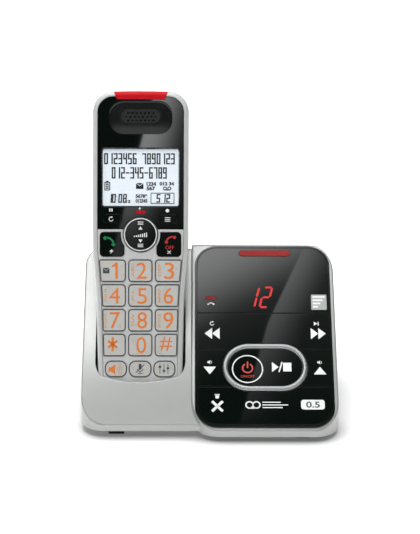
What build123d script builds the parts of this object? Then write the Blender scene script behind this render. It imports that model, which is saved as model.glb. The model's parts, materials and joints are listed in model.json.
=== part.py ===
from build123d import *
from math import cos, hypot, radians, sin, tan
import os

# Answering machine: a wedge-shaped base with a control panel on its right and a well on its left,
# and a cordless handset that stands in the well and lifts out along its own long axis.
#
# Base frame:    X to the right, Y to the back, Z up. The fold over the front skirt is at Y = 0.
# Panel frame:   x to the right, y up the slope from the fold, z out of the sloping face.
# Handset frame: x to the right, y from the face to the back, z from the bottom end to the top end.
# All sizes are millimetres and degrees.

# ---------------------------------------------------------------- allowances
# OVERCUT: how far a cut runs past the surface it opens. HOLE_ROOM: room beyond the tip of a screw.
# NEARLY: keeps a full round from closing up. LOOKS_UP: upward share of a top face's normal.
OVERCUT = 1.0
HOLE_ROOM = 0.3
NEARLY = 0.01
LOOKS_UP = 0.3
FAR = 60.0

# ---------------------------------------------------------------- base: overall
BASE_WIDTH = 141.0
BASE_DEPTH = 94.0
FACE_SLOPE = 38.0
FOLD_HEIGHT = 7.0
UNDERSIDE = 3.0
RIDGE_DEPTH = 2.6
WALL = 2.2
RIM_ROUND = 1.0
REAR_CORNER = 10.0
FRONT_CORNER = 13.0

# Left part of the face: lower than the plinth, most so at its top, and set back at the front.
LEFT_SET_BACK = 5.0
LEFT_FOLD_HEIGHT = 8.0
LEFT_UNDERSIDE = 4.0
LEFT_DROP = 1.3
LEFT_TOP_DROP = 2.4
LEFT_CURVE_START = 50.0
LEFT_RUN_ON = 12.0
BLEND_RADIUS = 4.0

# Plinth: the raised silver part that carries the control panel. It starts beside the well.
PLINTH_MARGIN = 3.25
PLINTH_FRONT_LEFT_CORNER = 16.0
PLINTH_FRONT_RIGHT_CORNER = 14.0
PLINTH_REAR_CORNER = 15.0

# ---------------------------------------------------------------- base: control panel
# Margins run from the plinth's edges to the panel. Places across are counted from the panel's
# middle line and places up the slope from the fold, or down from the panel's top where so named.
PANEL_LEFT_MARGIN = 2.2
PANEL_RIGHT_MARGIN = 2.4
PANEL_BOTTOM = 1.9
PANEL_TOP_MARGIN = 0.8
PANEL_CORNER = 12.0
PANEL_RAISE = 1.2
PANEL_BORDER = 1.0
PANEL_FIT = 0.1
PANEL_FLANGE = 1.0
FLOOR_THICKNESS = 1.0
ROW_LINES = (25.96, 49.05, 71.74)
KEY_GAP = 0.25
KEY_TRAVEL = 0.8
CAP_ROOM = 0.2
POST_ROOM = 1.4
POST_RADIUS = 1.5
POST_CLEARANCE = 0.4
PIVOT_RADIUS = 0.7
PIVOT_CLEARANCE = 0.05
PIVOT_LENGTH = 15.0
BAR_POST_INSET = 10.0

RING_SHIFT = 0.5
RING_UP = 37.7
RING_WIDTH = 47.0
RING_HEIGHT = 29.0
RING_BAND = 3.0
RING_RAISE = 2.4
RING_ROUND = 1.2
PLAY_RAISE = 1.5
POWER_RAISE = 1.8
POWER_SHIFT = -9.3
POWER_UP = 36.4
POWER_DIAMETER = 17.3
PLAY_POST_OFFSET = 9.0
PLAY_POST_SPREAD = 6.0

LIGHT_BAR_SHIFT = 1.45
LIGHT_BAR_DOWN = 4.7
LIGHT_BAR_SIZE = (29.2, 3.6)
LIGHT_BAR_RISE = 0.3
IN_USE_INSET = 8.8
IN_USE_UP = 81.2
IN_USE_SIZE = (6.0, 2.0)
IN_USE_RISE = 0.1
COUNTER_SHIFT = -1.35
COUNTER_UP = 82.5
COUNTER_SIZE = (17.0, 16.4)
WINDOW_THICKNESS = 1.4
WINDOW_LIP = 1.5
COUNTER_GAP = 0.4
SLOT_CLEARANCE = 0.1

BOARD_DEPTH = 6.6
BOARD_THICKNESS = 1.6
BOARD_INSET = 3.0
BOARD_BOTTOM = 9.5
BOARD_DOWN = 6.2
BOARD_CORNER = 2.0
BOARD_TOP_CORNER = 12.0
MEMBRANE_THICKNESS = 0.8
BOSS_DIAMETER = 5.0
BOSS_INSET = 6.5
BOSS_UP = 22.5
BOSS_DOWN = 12.0
BOARD_SCREW_LENGTH = 4.2
# Each component: its shift from the middle line, its place up the slope, and its size.
BOARD_COMPONENTS = ((-17.0, 40.0, (14.0, 14.0, 1.6)), (12.0, 44.0, (10.0, 10.0, 1.4)),
                    (0.0, 72.0, (18.0, 12.0, 2.6)), (-22.0, 66.0, (8.0, 6.0, 5.0)))
BOARD_CAPACITORS = ((20.0, 66.0), (20.0, 78.0), (-22.0, 86.0))
CAPACITOR_SIZE = (6.3, 8.0)
SCREW_DIAMETER = 2.4
SCREW_HEAD_DIAMETER = 4.4
SCREW_HEAD_HEIGHT = 1.4
SCREW_FIT = 0.05
SCREW_SLOT_HALF = 0.3

# ---------------------------------------------------------------- base: inside and underneath
PLATE_THICKNESS = 2.0
PLATE_FIT = 0.15
FOOT_SIZE = (8.6, 6.4)
FOOT_CORNER = 0.8
FOOT_SINK = 0.8
FRONT_FOOT_INSET = 19.5
FRONT_FOOT_BACK = (13.0, 8.5)
REAR_FOOT_INSET = (22.0, 22.0)
REAR_FOOT_MARGIN = 12.0
COLUMN_DIAMETER = 8.0
COLUMN_INSET = 5.9
REAR_COLUMN_MARGINS = (8.0, 17.0)
FRONT_COLUMNS = ((10.5, 11.5), (5.9, 30.0))
COLUMN_ROOM = 4.0
BASE_SCREW_DIAMETER = 3.0
BASE_SCREW_HEAD = 5.6
BASE_SCREW_HEAD_HEIGHT = 1.2
BASE_SCREW_LENGTH = 5.0
SPEAKER_JACK_GAP = 1.2
SPEAKER_DIAMETER = 40.0
SPEAKER_HEIGHT = 17.0
SPEAKER_MAGNET_DIAMETER = 24.0
SPEAKER_RIM_HEIGHT = 3.0
SPEAKER_SEAT_WALL = 1.6
SPEAKER_SLOTS = 7
SPEAKER_SLOT_PITCH = 4.6
SPEAKER_SLOT_WIDTH = 1.8
SPEAKER_SLOT_EDGE = 3.0
BASKET_STEP = 1.5
BASKET_SHARE = 0.6
MAGNET_STEP = 2.0
CONE_EDGE = 2.5
CONE_SHARE = 0.3
JACK_SEAT = 2.0
LINE_JACK_INSET = 36.5
LINE_JACK_SIZE = (13.2, 14.5, 12.4)
LINE_SOCKET_WIDTH = 9.9
LINE_SOCKET_HEIGHT = 7.0
LINE_SOCKET_DEPTH = 11.5
LINE_SOCKET_RISE = 0.8
LATCH_HALF_WIDTH = 3.0
LATCH_DEPTH = 1.4
JACK_SPACING = 24.0
POWER_JACK_SIZE = (11.0, 13.5, 11.0)
POWER_BORE = 5.5
POWER_BORE_DEPTH = 9.5
POWER_PIN_DIAMETER = 2.1
POWER_PIN_LENGTH = 9.0
JACK_FIT = 0.2

# ---------------------------------------------------------------- cradle well and charging contacts
CRADLE_MARGIN = 7.35
LEAN = 22.0
RIM_POINT = (23.9, 23.7)
RIM_COVER = 10.0
WELL_SIDE_GAP = 0.75
WELL_FRONT_GAP = 2.0
WELL_FRONT_CROWN = 2.4
WELL_CORNER = 5.0
WELL_CLEARANCE = 0.4
WELL_WALL = 1.6
CONTACT_OFFSET = 8.0
CONTACT_DEPTH = 8.0
CONTACT_WIDTH = 3.0
CONTACT_LENGTH = 6.0
CONTACT_GAP = 0.12
CONTACT_SLIDE_FIT = 0.1
CONTACT_FLANGE = 0.8

# ---------------------------------------------------------------- handset: outline
HANDSET_LENGTH = 171.0
HANDSET_THICKNESS = 23.5
HANDSET_TOP_HALF = 26.6
WAIST_DRAW_IN = 2.5
FOOT_DRAW_IN = 3.7
WAIST_DOWN = 79.0
HANDSET_TOP_CORNER = 11.5
HANDSET_TOP_CROWN = 0.8
HANDSET_BOTTOM_CORNER = 9.0
HANDSET_BACK_ROUND = 10.0
HANDSET_FACE_ROUND = 2.4
HANDSET_WALL = 1.8
HANDSET_SPLIT = 9.0
HANDSET_RIM = 2.75
SEAM = 0.2
FACE_SINK = 0.15
BEZEL_THICKNESS = 2.0
BEZEL_LEDGE = 1.8
LEDGE_THICKNESS = 1.5
LEDGE_OPENING = 1.0
PAD_MARGIN = 5.0

# ---------------------------------------------------------------- handset: display end
# Heights named DOWN are counted from the top end, and insets from the widest half width.
BEZEL_SPLIT_DOWN = 76.4
DISPLAY_INSET = 5.7
DISPLAY_DOWN = (63.4, 32.1)
DISPLAY_CORNER = 1.0
WINDOW_DEPTH = 1.0
WINDOW_BORDER = 0.6
MODULE_THICKNESS = 3.0
MODULE_BORDER = 1.0
EAR_RECESS_INSET = 9.3
EAR_RECESS_DOWN = (23.8, 5.6)
EAR_RECESS_DEPTH = 1.0
EAR_RECESS_CORNER = 7.5
EAR_GRILLE_DOWN = 14.3
EAR_HOLE_DIAMETER = 1.3
EAR_HOLE_PITCH = 2.3
EAR_ROW_PITCH = 2.0
EAR_ROW_HOLES = (7, 8, 7)
EAR_SPEAKER_DIAMETER = 18.0
EAR_SPEAKER_THICKNESS = 3.4
EAR_CONE_DIAMETER = 15.0
EAR_CONE_DEPTH = 0.6
CHARGE_LIGHT_DOWN = 66.9
CHARGE_LIGHT_SIZE = (5.5, 1.7)
RINGER_INSET = 11.6
RINGER_SLANT = 0.4
RINGER_DOWN = 4.7
RINGER_DEPTH = 8.0

# ---------------------------------------------------------------- handset: keys
NAV_DOWN = 79.2
NAV_RADIUS = 9.24
NAV_HOLE_RADIUS = 9.85
NAV_RAISE = 0.6
NAV_BALL_RADIUS = 1.5
NAV_BALL_DEPTH = 3.2
NAV_BACK = 1.6
NAV_DISH_RADIUS = 8.1
NAV_DISH_DEPTH = 0.25
NAV_PAD_DIAMETER = 5.0
MIDDLE_KEY_HALF = 6.5
COLUMN_SPACE = 1.65
ROW_COUNT = 4
ROW_SPACE = 1.6
ROW_SPACE_BELOW = 2.8
ROW_SPACE_ABOVE = 1.9
SIDE_KEY_MARGIN = 0.6
KEY_CORNER = 2.0
KEY_OUTER_CORNER = 0.8
FUNCTION_RANGE = (13.5, 22.2)
FUNCTION_MIDDLE_HALF = 6.05
FUNCTION_SPACE = 1.4
FUNCTION_INSET = 3.7
FUNCTION_CORNER = 3.6
CALL_KEY_DOWN = (91.2, 78.0)
CALL_KEY_INNER = 9.0
CALL_KEY_INSET = 4.4
CALL_KEY_NAV_GAP = 1.2
SOFT_KEY_DOWN = (72.8, 68.2)
SOFT_KEY_INSETS = (16.2, 6.2)
SOFT_KEY_CORNER = 1.6
SOFT_KEYS = ("redial_key", "menu_key")
PAD_KEY_RAISE = 0.35
FLANGE_MARGIN = 0.4
FLANGE_GAP = 0.1
FLANGE_THICKNESS = 0.7
STEM_RADIUS = 1.4
STEM_ROOM = 0.5
STEM_CLEARANCE = 0.6

# ---------------------------------------------------------------- handset: inside and back
PAD_BOARD_DEPTH = 6.0
PAD_BOARD_THICKNESS = 1.2
PAD_BOARD_INSET = 3.4
BATTERY_WIDTH = 21.0
BATTERY_HEIGHT = 44.5
BATTERY_BOTTOM = 29.0
BATTERY_GAP = 0.1
BATTERY_DOOR_GAP = 0.4
BAY_WALL = 1.2
BAY_ROOM = 0.4
COMPONENT_ROOM = 2.4
DOOR_SEAT = 1.5
DOOR_RANGE = (22.0, 82.0)
DOOR_HALF_WIDTH = 13.4
DOOR_CORNER = 3.0
DOOR_FIT = 0.2
GRIP_SIZE = (14.0, 5.0)
GRIP_FROM_TOP = 8.0
GRIP_DEPTH = 0.6
BACK_SPEAKER_DIAMETER = 20.0
BACK_SPEAKER_DOWN = 53.0
BACK_SPEAKER_THICKNESS = 4.5
BACK_CONE_DIAMETER = 17.5
BACK_CONE_DEPTH = 0.8
BACK_SLOT_WIDTH = 1.4
BACK_SLOT_PITCH = 3.4
BACK_SLOTS = 5
BACK_SLOT_EDGE = 2.0
PAD_BOSS_DIAMETER = 5.0
PAD_SHOULDER = 7.0
PAD_BOSS_JOINT = 12.0
UPPER_BOSS_INSET = 5.8
UPPER_BOSS_DOWN = 24.0
LOWER_BOSS_INSET = 10.9
LOWER_BOSS_UP = 6.8
PAD_SCREW_DIAMETER = 2.0
PAD_SCREW_HEAD = 3.6
PAD_SCREW_HEAD_HEIGHT = 1.2
PAD_SCREW_LENGTH = 14.0
PAD_SCREW_SINK = 2.3
PLATE_WIDTH = 4.6
PLATE_LENGTH = 7.0
TAB_MARGIN = 0.6
TAB_THICKNESS = 0.8
PAD_BOARD_BOTTOM = 3.8
PAD_BOARD_DOWN = 6.0
MEMBRANE_MARGIN = 1.5
# Each component: its place across, its height counted from the top end, and its size.
PAD_COMPONENTS = ((0.0, 71.0, (16.0, 16.0, 1.6)), (-13.0, 47.0, (7.0, 9.0, 1.4)),
                  (12.0, 31.0, (12.0, 8.0, 2.2)))
CONNECTOR_UP = 16.0
CONNECTOR_SIZE = (16.0, 5.0, 3.0)
MICROPHONE_PLACE = (0.0, 9.0)
MICROPHONE_DIAMETER = 6.0
MICROPHONE_HEIGHT = 2.0

# ---------------------------------------------------------------- frames
HALF_BASE = BASE_WIDTH / 2
HANDSET_WAIST_HALF = HANDSET_TOP_HALF - WAIST_DRAW_IN
HANDSET_BOTTOM_HALF = HANDSET_TOP_HALF - FOOT_DRAW_IN
WELL_HALF_WIDTH = max(HANDSET_WAIST_HALF, HANDSET_BOTTOM_HALF) + WELL_SIDE_GAP
CRADLE_X = -HALF_BASE + CRADLE_MARGIN + WELL_HALF_WIDTH
SLOPE_RISE = tan(radians(FACE_SLOPE))
PANEL_PLACE = Pos(0, 0, FOLD_HEIGHT) * Rot(FACE_SLOPE, 0, 0)
HANDSET_Y = RIM_POINT[0] + WELL_FRONT_GAP * cos(radians(LEAN)) - RIM_COVER * sin(radians(LEAN))
HANDSET_Z = RIM_POINT[1] - WELL_FRONT_GAP * sin(radians(LEAN)) - RIM_COVER * cos(radians(LEAN))
HANDSET_PLACE = Pos(CRADLE_X, HANDSET_Y, HANDSET_Z) * Rot(-LEAN, 0, 0)

PLATE_TOP = UNDERSIDE + PLATE_THICKNESS
TOP_Y = BASE_DEPTH - RIDGE_DEPTH
TOP_Z = FOLD_HEIGHT + TOP_Y * SLOPE_RISE
FACE_LENGTH = TOP_Y / cos(radians(FACE_SLOPE))

# Places on the panel.
PLINTH_LEFT = CRADLE_X + WELL_HALF_WIDTH + PLINTH_MARGIN
PANEL_LEFT = PLINTH_LEFT + PANEL_LEFT_MARGIN
PANEL_RIGHT = HALF_BASE - PANEL_RIGHT_MARGIN
PANEL_MIDDLE = (PANEL_LEFT + PANEL_RIGHT) / 2
PANEL_TOP = FACE_LENGTH - PANEL_TOP_MARGIN
RING_CENTRE = (PANEL_MIDDLE + RING_SHIFT, RING_UP)
POWER_CENTRE = (PANEL_MIDDLE + POWER_SHIFT, POWER_UP)
LIGHT_BAR_CENTRE = (PANEL_MIDDLE + LIGHT_BAR_SHIFT, PANEL_TOP - LIGHT_BAR_DOWN)
IN_USE_CENTRE = (PANEL_LEFT + IN_USE_INSET, IN_USE_UP)
COUNTER_CENTRE = (PANEL_MIDDLE + COUNTER_SHIFT, COUNTER_UP)
BOARD_TOP = PANEL_TOP - BOARD_DOWN
BOSS_POSITIONS = [(x, y) for y in (BOSS_UP, PANEL_TOP - BOSS_DOWN)
                  for x in (PANEL_LEFT + BOSS_INSET, PANEL_RIGHT - BOSS_INSET)]
CAP_LOW = -WALL + KEY_TRAVEL + CAP_ROOM
FLOOR_LOW = -WALL - FLOOR_THICKNESS
POST_LOW = -BOARD_DEPTH + KEY_TRAVEL + POST_ROOM
BOARD_LOW = -BOARD_DEPTH - BOARD_THICKNESS

ROW_BOTTOM = (PANEL_BOTTOM + PANEL_BORDER, ROW_LINES[0])
ROW_MIDDLE = (ROW_LINES[0], ROW_LINES[1])
ROW_UPPER = (ROW_LINES[1], ROW_LINES[2])
ROW_WINDOW = (ROW_LINES[2], PANEL_TOP - PANEL_BORDER)

# Places inside the base.
LINE_JACK_X = HALF_BASE - LINE_JACK_INSET
POWER_JACK_X = LINE_JACK_X - JACK_SPACING
SPEAKER_SEAT = SPEAKER_DIAMETER / 2 + JACK_FIT + SPEAKER_SEAT_WALL
SPEAKER_CENTRE = (PANEL_MIDDLE, BASE_DEPTH - LINE_JACK_SIZE[1] - SPEAKER_JACK_GAP - SPEAKER_SEAT)
FOOT_POSITIONS = ((-HALF_BASE + FRONT_FOOT_INSET, FRONT_FOOT_BACK[0]),
                  (HALF_BASE - FRONT_FOOT_INSET, FRONT_FOOT_BACK[1]),
                  (-HALF_BASE + REAR_FOOT_INSET[0], BASE_DEPTH - REAR_FOOT_MARGIN),
                  (HALF_BASE - REAR_FOOT_INSET[1], BASE_DEPTH - REAR_FOOT_MARGIN))
COLUMN_POSITIONS = ((-HALF_BASE + FRONT_COLUMNS[0][0], FRONT_COLUMNS[0][1]),
                    (HALF_BASE - FRONT_COLUMNS[1][0], FRONT_COLUMNS[1][1]),
                    (-HALF_BASE + COLUMN_INSET, BASE_DEPTH - REAR_COLUMN_MARGINS[0]),
                    (HALF_BASE - COLUMN_INSET, BASE_DEPTH - REAR_COLUMN_MARGINS[1]))

# Depths into the handset.
BEZEL_BACK = FACE_SINK + BEZEL_THICKNESS
LEDGE_BACK = BEZEL_BACK + LEDGE_THICKNESS
FLANGE_FRONT = BEZEL_BACK + FLANGE_GAP
FLANGE_BACK = FLANGE_FRONT + FLANGE_THICKNESS
BACK_INNER = HANDSET_THICKNESS - HANDSET_WALL
WINDOW_BACK = FACE_SINK + WINDOW_DEPTH
STEM_END = PAD_BOARD_DEPTH - KEY_TRAVEL - STEM_ROOM
BAY_FRONT = PAD_BOARD_DEPTH + PAD_BOARD_THICKNESS + COMPONENT_ROOM
BATTERY_DEPTH = BAY_FRONT + BAY_WALL + BATTERY_GAP
BATTERY_THICKNESS = BACK_INNER - BATTERY_DOOR_GAP - BATTERY_DEPTH


def from_top(distances):
    """Heights on the handset of places that are counted down from its top end."""
    return tuple(HANDSET_LENGTH - distance for distance in distances)


# Heights and widths on the handset's face.
BEZEL_SPLIT = HANDSET_LENGTH - BEZEL_SPLIT_DOWN
DISPLAY_HALF = HANDSET_TOP_HALF - DISPLAY_INSET
DISPLAY_RANGE = from_top(DISPLAY_DOWN)
EAR_RECESS_HALF = HANDSET_TOP_HALF - EAR_RECESS_INSET
EAR_RECESS_RANGE = from_top(EAR_RECESS_DOWN)
EAR_GRILLE = (0, HANDSET_LENGTH - EAR_GRILLE_DOWN)
CHARGE_LIGHT = (0, HANDSET_LENGTH - CHARGE_LIGHT_DOWN)
NAV_CENTRE = HANDSET_LENGTH - NAV_DOWN
CALL_KEY_RANGE = from_top(CALL_KEY_DOWN)
CALL_KEY_EDGES = (CALL_KEY_INNER, HANDSET_TOP_HALF - CALL_KEY_INSET)
ROWS_LOW = FUNCTION_RANGE[1] + ROW_SPACE_BELOW
ROWS_HIGH = CALL_KEY_RANGE[0] - ROW_SPACE_ABOVE
ROW_PITCH = (ROWS_HIGH - ROWS_LOW + ROW_SPACE) / ROW_COUNT
WAIST_START = ROWS_LOW + 2 * ROW_PITCH - ROW_SPACE / 2
WAIST_END = HANDSET_LENGTH - WAIST_DOWN
SOFT_KEY_RANGE = from_top(SOFT_KEY_DOWN)
SOFT_KEY_EDGES = tuple(HANDSET_TOP_HALF - inset for inset in SOFT_KEY_INSETS)
BACK_SPEAKER_CENTRE = HANDSET_LENGTH - BACK_SPEAKER_DOWN
PAD_BOSSES = ((-HANDSET_TOP_HALF + UPPER_BOSS_INSET, HANDSET_LENGTH - UPPER_BOSS_DOWN),
              (HANDSET_TOP_HALF - UPPER_BOSS_INSET, HANDSET_LENGTH - UPPER_BOSS_DOWN),
              (-HANDSET_BOTTOM_HALF + LOWER_BOSS_INSET, LOWER_BOSS_UP),
              (HANDSET_BOTTOM_HALF - LOWER_BOSS_INSET, LOWER_BOSS_UP))


# ---------------------------------------------------------------- helpers
def middle(limits):
    return (limits[0] + limits[1]) / 2


def grown(limits, grow):
    return (limits[0] - grow, limits[1] + grow)


def block(x_range, y_range, z_range):
    """Box between three pairs of limits."""
    size = [high - low for low, high in (x_range, y_range, z_range)]
    centre = [middle(limits) for limits in (x_range, y_range, z_range)]
    return Pos(*centre) * Box(*size)


def rod(x, y, z_range, diameter):
    """Upright cylinder."""
    return Pos(x, y, z_range[0]) * extrude(Circle(diameter / 2), z_range[1] - z_range[0])


def rounded(x_range, y_range, radius):
    """Rectangle between limits, with equal round corners."""
    width = x_range[1] - x_range[0]
    height = y_range[1] - y_range[0]
    shape = RectangleRounded(width, height, min(radius, min(width, height) / 2 - NEARLY))
    return Pos(middle(x_range), middle(y_range)) * shape


def corner(face, x, y, radius):
    """Round the corner of a flat shape that lies nearest to a point."""
    nearest = min(face.vertices(), key=lambda v: hypot(v.X - x, v.Y - y))
    return fillet(nearest, radius)


def slab(face, low, high):
    """Flat shape of the panel frame, made solid between two heights."""
    return extrude(Pos(0, 0, low) * face, high - low, dir=(0, 0, 1))


def plate(face, front, back):
    """Shape drawn on the handset's face, made solid between two depths."""
    return extrude(Plane.XZ.offset(-front) * face, back - front, dir=(0, 1, 0))


def barrel(x, z, front, back, diameter):
    """Cylinder that runs from the handset's face to its back."""
    return plate(Pos(x, z) * Circle(diameter / 2), front, back)


def single(shape):
    """Largest solid of a result, so that a cut leaves no crumbs."""
    return max(shape.solids(), key=lambda solid: solid.volume)


# ---------------------------------------------------------------- base: outer form
def left_profile(inset):
    """Side view of the lower left face: straight above, bending down to its fold."""
    start_z = FOLD_HEIGHT - LEFT_DROP + LEFT_CURVE_START * SLOPE_RISE
    top_z = TOP_Z - LEFT_TOP_DROP
    start = (LEFT_CURVE_START, start_z)
    fold = (LEFT_SET_BACK, LEFT_FOLD_HEIGHT)
    bend = TangentArc(start, fold, tangent=(start[0] - TOP_Y, start_z - top_z))
    along = bend % 1
    ahead = (fold[0] + along.X * LEFT_RUN_ON, fold[1] + along.Y * LEFT_RUN_ON)
    outer = Line((TOP_Y, top_z), start) + bend + Line(fold, ahead)
    rest = Polyline(ahead, (ahead[0], -FAR), (BASE_DEPTH + FAR, -FAR),
                    (BASE_DEPTH + FAR, top_z), (TOP_Y, top_z))
    return offset(make_face(outer + rest), -inset) if inset else make_face(outer + rest)


def right_profile(inset):
    """Side view of the plinth: one straight slope and a level top."""
    points = [(-FAR, FOLD_HEIGHT - FAR * SLOPE_RISE), (-FAR, -2 * FAR), (BASE_DEPTH + FAR, -2 * FAR),
              (BASE_DEPTH + FAR, TOP_Z), (TOP_Y, TOP_Z)]
    shape = make_face(Polyline(*points, close=True))
    return offset(shape, -inset) if inset else shape


def side_view(profile):
    """Stand a side view up and stretch it across the whole width."""
    upright = Plane(origin=(-FAR - HALF_BASE, 0, 0), x_dir=(0, 1, 0), z_dir=(1, 0, 0)) * profile
    return extrude(upright, 2 * (FAR + HALF_BASE), dir=(1, 0, 0))


def left_outline(inset):
    """Plan of the set-back part, with the concave bend into the plinth's front corner."""
    big = PLINTH_FRONT_LEFT_CORNER
    centre = (PLINTH_LEFT + big, big)
    hub_y = LEFT_SET_BACK - BLEND_RADIUS
    hub_x = centre[0] - ((big + BLEND_RADIUS) ** 2 - (big - hub_y) ** 2) ** 0.5
    share = big / (big + BLEND_RADIUS)
    touch = (centre[0] + (hub_x - centre[0]) * share, centre[1] + (hub_y - centre[1]) * share)
    bend = TangentArc((hub_x, LEFT_SET_BACK), touch, tangent=(1, 0))
    rest = Polyline(touch, (centre[0] + big, centre[1]), (centre[0] + big, BASE_DEPTH),
                    (-HALF_BASE, BASE_DEPTH), (-HALF_BASE, LEFT_SET_BACK), (hub_x, LEFT_SET_BACK))
    shape = make_face(bend + rest)
    shape = corner(shape, -HALF_BASE, LEFT_SET_BACK, FRONT_CORNER)
    shape = corner(shape, -HALF_BASE, BASE_DEPTH, REAR_CORNER)
    return offset(shape, -inset) if inset else shape


def plinth_outline(inset):
    """Plan of the plinth."""
    shape = make_face(Polyline((PLINTH_LEFT, 0), (HALF_BASE, 0), (HALF_BASE, BASE_DEPTH),
                               (PLINTH_LEFT, BASE_DEPTH), close=True))
    shape = corner(shape, PLINTH_LEFT, 0, PLINTH_FRONT_LEFT_CORNER)
    shape = corner(shape, HALF_BASE, 0, PLINTH_FRONT_RIGHT_CORNER)
    shape = corner(shape, HALF_BASE, BASE_DEPTH, PLINTH_REAR_CORNER)
    return offset(shape, -inset) if inset else shape


def upper_rim(solid):
    """Outer edges between the top faces and the walls."""
    tops = [face for face in solid.faces() if face.normal_at(face.center()).Z > LOOKS_UP]
    edges = {}
    for face in tops:
        for edge in face.edges():
            halfway = edge @ 0.5
            key = (round(halfway.X, 2), round(halfway.Y, 2), round(halfway.Z, 2))
            edges.setdefault(key, []).append(edge)
    return [found[0] for found in edges.values() if len(found) == 1]


def base_part(profile, outline, bottom, inset, round_over):
    """One half of the base's outer or inner form."""
    prism = slab(outline(inset), bottom, TOP_Z + FAR)
    solid = single(side_view(profile(inset)) & prism)
    return fillet(upper_rim(solid), round_over) if round_over else solid


def outer_form():
    left = base_part(left_profile, left_outline, LEFT_UNDERSIDE, 0, RIM_ROUND)
    right = base_part(right_profile, plinth_outline, UNDERSIDE, 0, RIM_ROUND)
    return left + right


def inner_form():
    left = base_part(left_profile, left_outline, -OVERCUT, WALL, 0)
    right = base_part(right_profile, plinth_outline, -OVERCUT, WALL, 0)
    return left + right


# ---------------------------------------------------------------- base: shared outlines
def panel_outline(grow=0.0):
    """Outline of the black control panel."""
    x_range = (PANEL_LEFT - grow, PANEL_RIGHT + grow)
    return rounded(x_range, (PANEL_BOTTOM - grow, PANEL_TOP + grow), PANEL_CORNER + grow)


def ring_outline(grow=0.0):
    """Outer outline of the oval ring."""
    height = RING_HEIGHT + 2 * grow
    return Pos(*RING_CENTRE) * SlotOverall(RING_WIDTH + 2 * grow, height)


def well_section(grow=0.0):
    """Cross-section of the well, with its crowned front, in the handset's x and y."""
    half = WELL_HALF_WIDTH
    front = -WELL_FRONT_GAP
    side = front + WELL_FRONT_CROWN
    back = HANDSET_THICKNESS + WELL_CLEARANCE
    bow = ThreePointArc((-half, side), (0, front), (half, side))
    shape = make_face(bow + Polyline((half, side), (half, back), (-half, back), (-half, side)))
    shape = corner(shape, -half, side, WELL_CORNER)
    shape = corner(shape, half, side, WELL_CORNER)
    return offset(shape, grow) if grow else shape


def well_form(grow):
    """The well's space, or with growth its outside, down to the round of the handset's heel."""
    bottom = -WELL_CLEARANCE - grow
    solid = extrude(Pos(0, 0, bottom) * well_section(grow), 2 * FAR, dir=(0, 0, 1))
    lowest = solid.edges().group_by(Axis.Z)[0]
    heel = lowest.sort_by(Axis.Y)[-1]
    return HANDSET_PLACE * fillet(heel, HANDSET_BACK_ROUND + WELL_CLEARANCE + grow)


def post_positions():
    """Place of every post under the panel's keys."""
    bars = [(x, middle(row)) for row in (ROW_BOTTOM, ROW_UPPER)
            for x in (PANEL_LEFT + BAR_POST_INSET, PANEL_RIGHT - BAR_POST_INSET)]
    volume = [(middle((side, limit)), RING_CENTRE[1])
              for side, limit in ((PANEL_LEFT, ring_left()), (ring_right(), PANEL_RIGHT))]
    return {"delete_slow_key": bars[:2], "repeat_skip_key": bars[2:],
            "volume_down_key": volume[:1], "volume_up_key": volume[1:],
            "play_stop_key": play_posts(), "answer_on_off_key": [POWER_CENTRE]}


def ring_left():
    return RING_CENTRE[0] - RING_WIDTH / 2


def ring_right():
    return RING_CENTRE[0] + RING_WIDTH / 2


def play_posts():
    x = RING_CENTRE[0] + PLAY_POST_OFFSET
    return [(x, RING_CENTRE[1] + side * PLAY_POST_SPREAD) for side in (-1, 1)]


# ---------------------------------------------------------------- base: housings
def column(x, y, trim):
    """Screw column that hangs from the roof, with its hole."""
    body = rod(x, y, (PLATE_TOP, TOP_Z), COLUMN_DIAMETER) & trim
    reach = UNDERSIDE + BASE_SCREW_HEAD_HEIGHT + BASE_SCREW_LENGTH + HOLE_ROOM
    return body - rod(x, y, (0, reach), BASE_SCREW_DIAMETER + 2 * SCREW_FIT)


def jack_slots():
    """Cut-outs for the two jacks, open at the bottom edge of the rear wall."""
    cuts = []
    for x, size in ((LINE_JACK_X, LINE_JACK_SIZE), (POWER_JACK_X, POWER_JACK_SIZE)):
        half = size[0] / 2 + JACK_FIT
        top = PLATE_TOP + JACK_SEAT + size[2] + JACK_FIT
        depth = (BASE_DEPTH - WALL - OVERCUT, BASE_DEPTH + OVERCUT)
        cuts.append(block((x - half, x + half), depth, (0, top)))
    return cuts


def column_room():
    """Space in which the columns may stand: inside the shell and below the control board."""
    below = FAR + FACE_LENGTH
    board_zone = slab(Pos(0, middle((0, FACE_LENGTH))) * Rectangle(4 * FAR, 2 * below),
                      BOARD_LOW - COLUMN_ROOM, FAR)
    right_side = block((PLINTH_LEFT, HALF_BASE - WALL), (-FAR, 2 * FAR), (-FAR, 3 * FAR))
    return outer_form() - (PANEL_PLACE * board_zone & right_side)


def base_upper_housing():
    shell = outer_form() - inner_form()
    trim = column_room()
    for x, y in COLUMN_POSITIONS:
        shell += column(x, y, trim)
    shell -= PANEL_PLACE * slab(panel_outline(PANEL_FIT), -WALL - OVERCUT, FAR / 2)
    shell -= well_form(0)
    for cut in jack_slots():
        shell -= cut
    return {"base_upper_housing": single(shell)}


def plate_outline():
    inset = WALL + PLATE_FIT
    return left_outline(inset) + plinth_outline(inset)


def speaker_slots():
    """Row of sound slots under the loudspeaker, each as long as the circle allows."""
    slots = []
    for index in range(SPEAKER_SLOTS):
        shift = (index - (SPEAKER_SLOTS - 1) / 2) * SPEAKER_SLOT_PITCH
        reach = SPEAKER_DIAMETER / 2 - SPEAKER_SLOT_EDGE
        length = 2 * (reach ** 2 - shift ** 2) ** 0.5
        slot = SlotOverall(length, SPEAKER_SLOT_WIDTH)
        centre = Pos(SPEAKER_CENTRE[0], SPEAKER_CENTRE[1] + shift)
        slots.append(slab(centre * slot, 0, PLATE_TOP + OVERCUT))
    return slots


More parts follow.
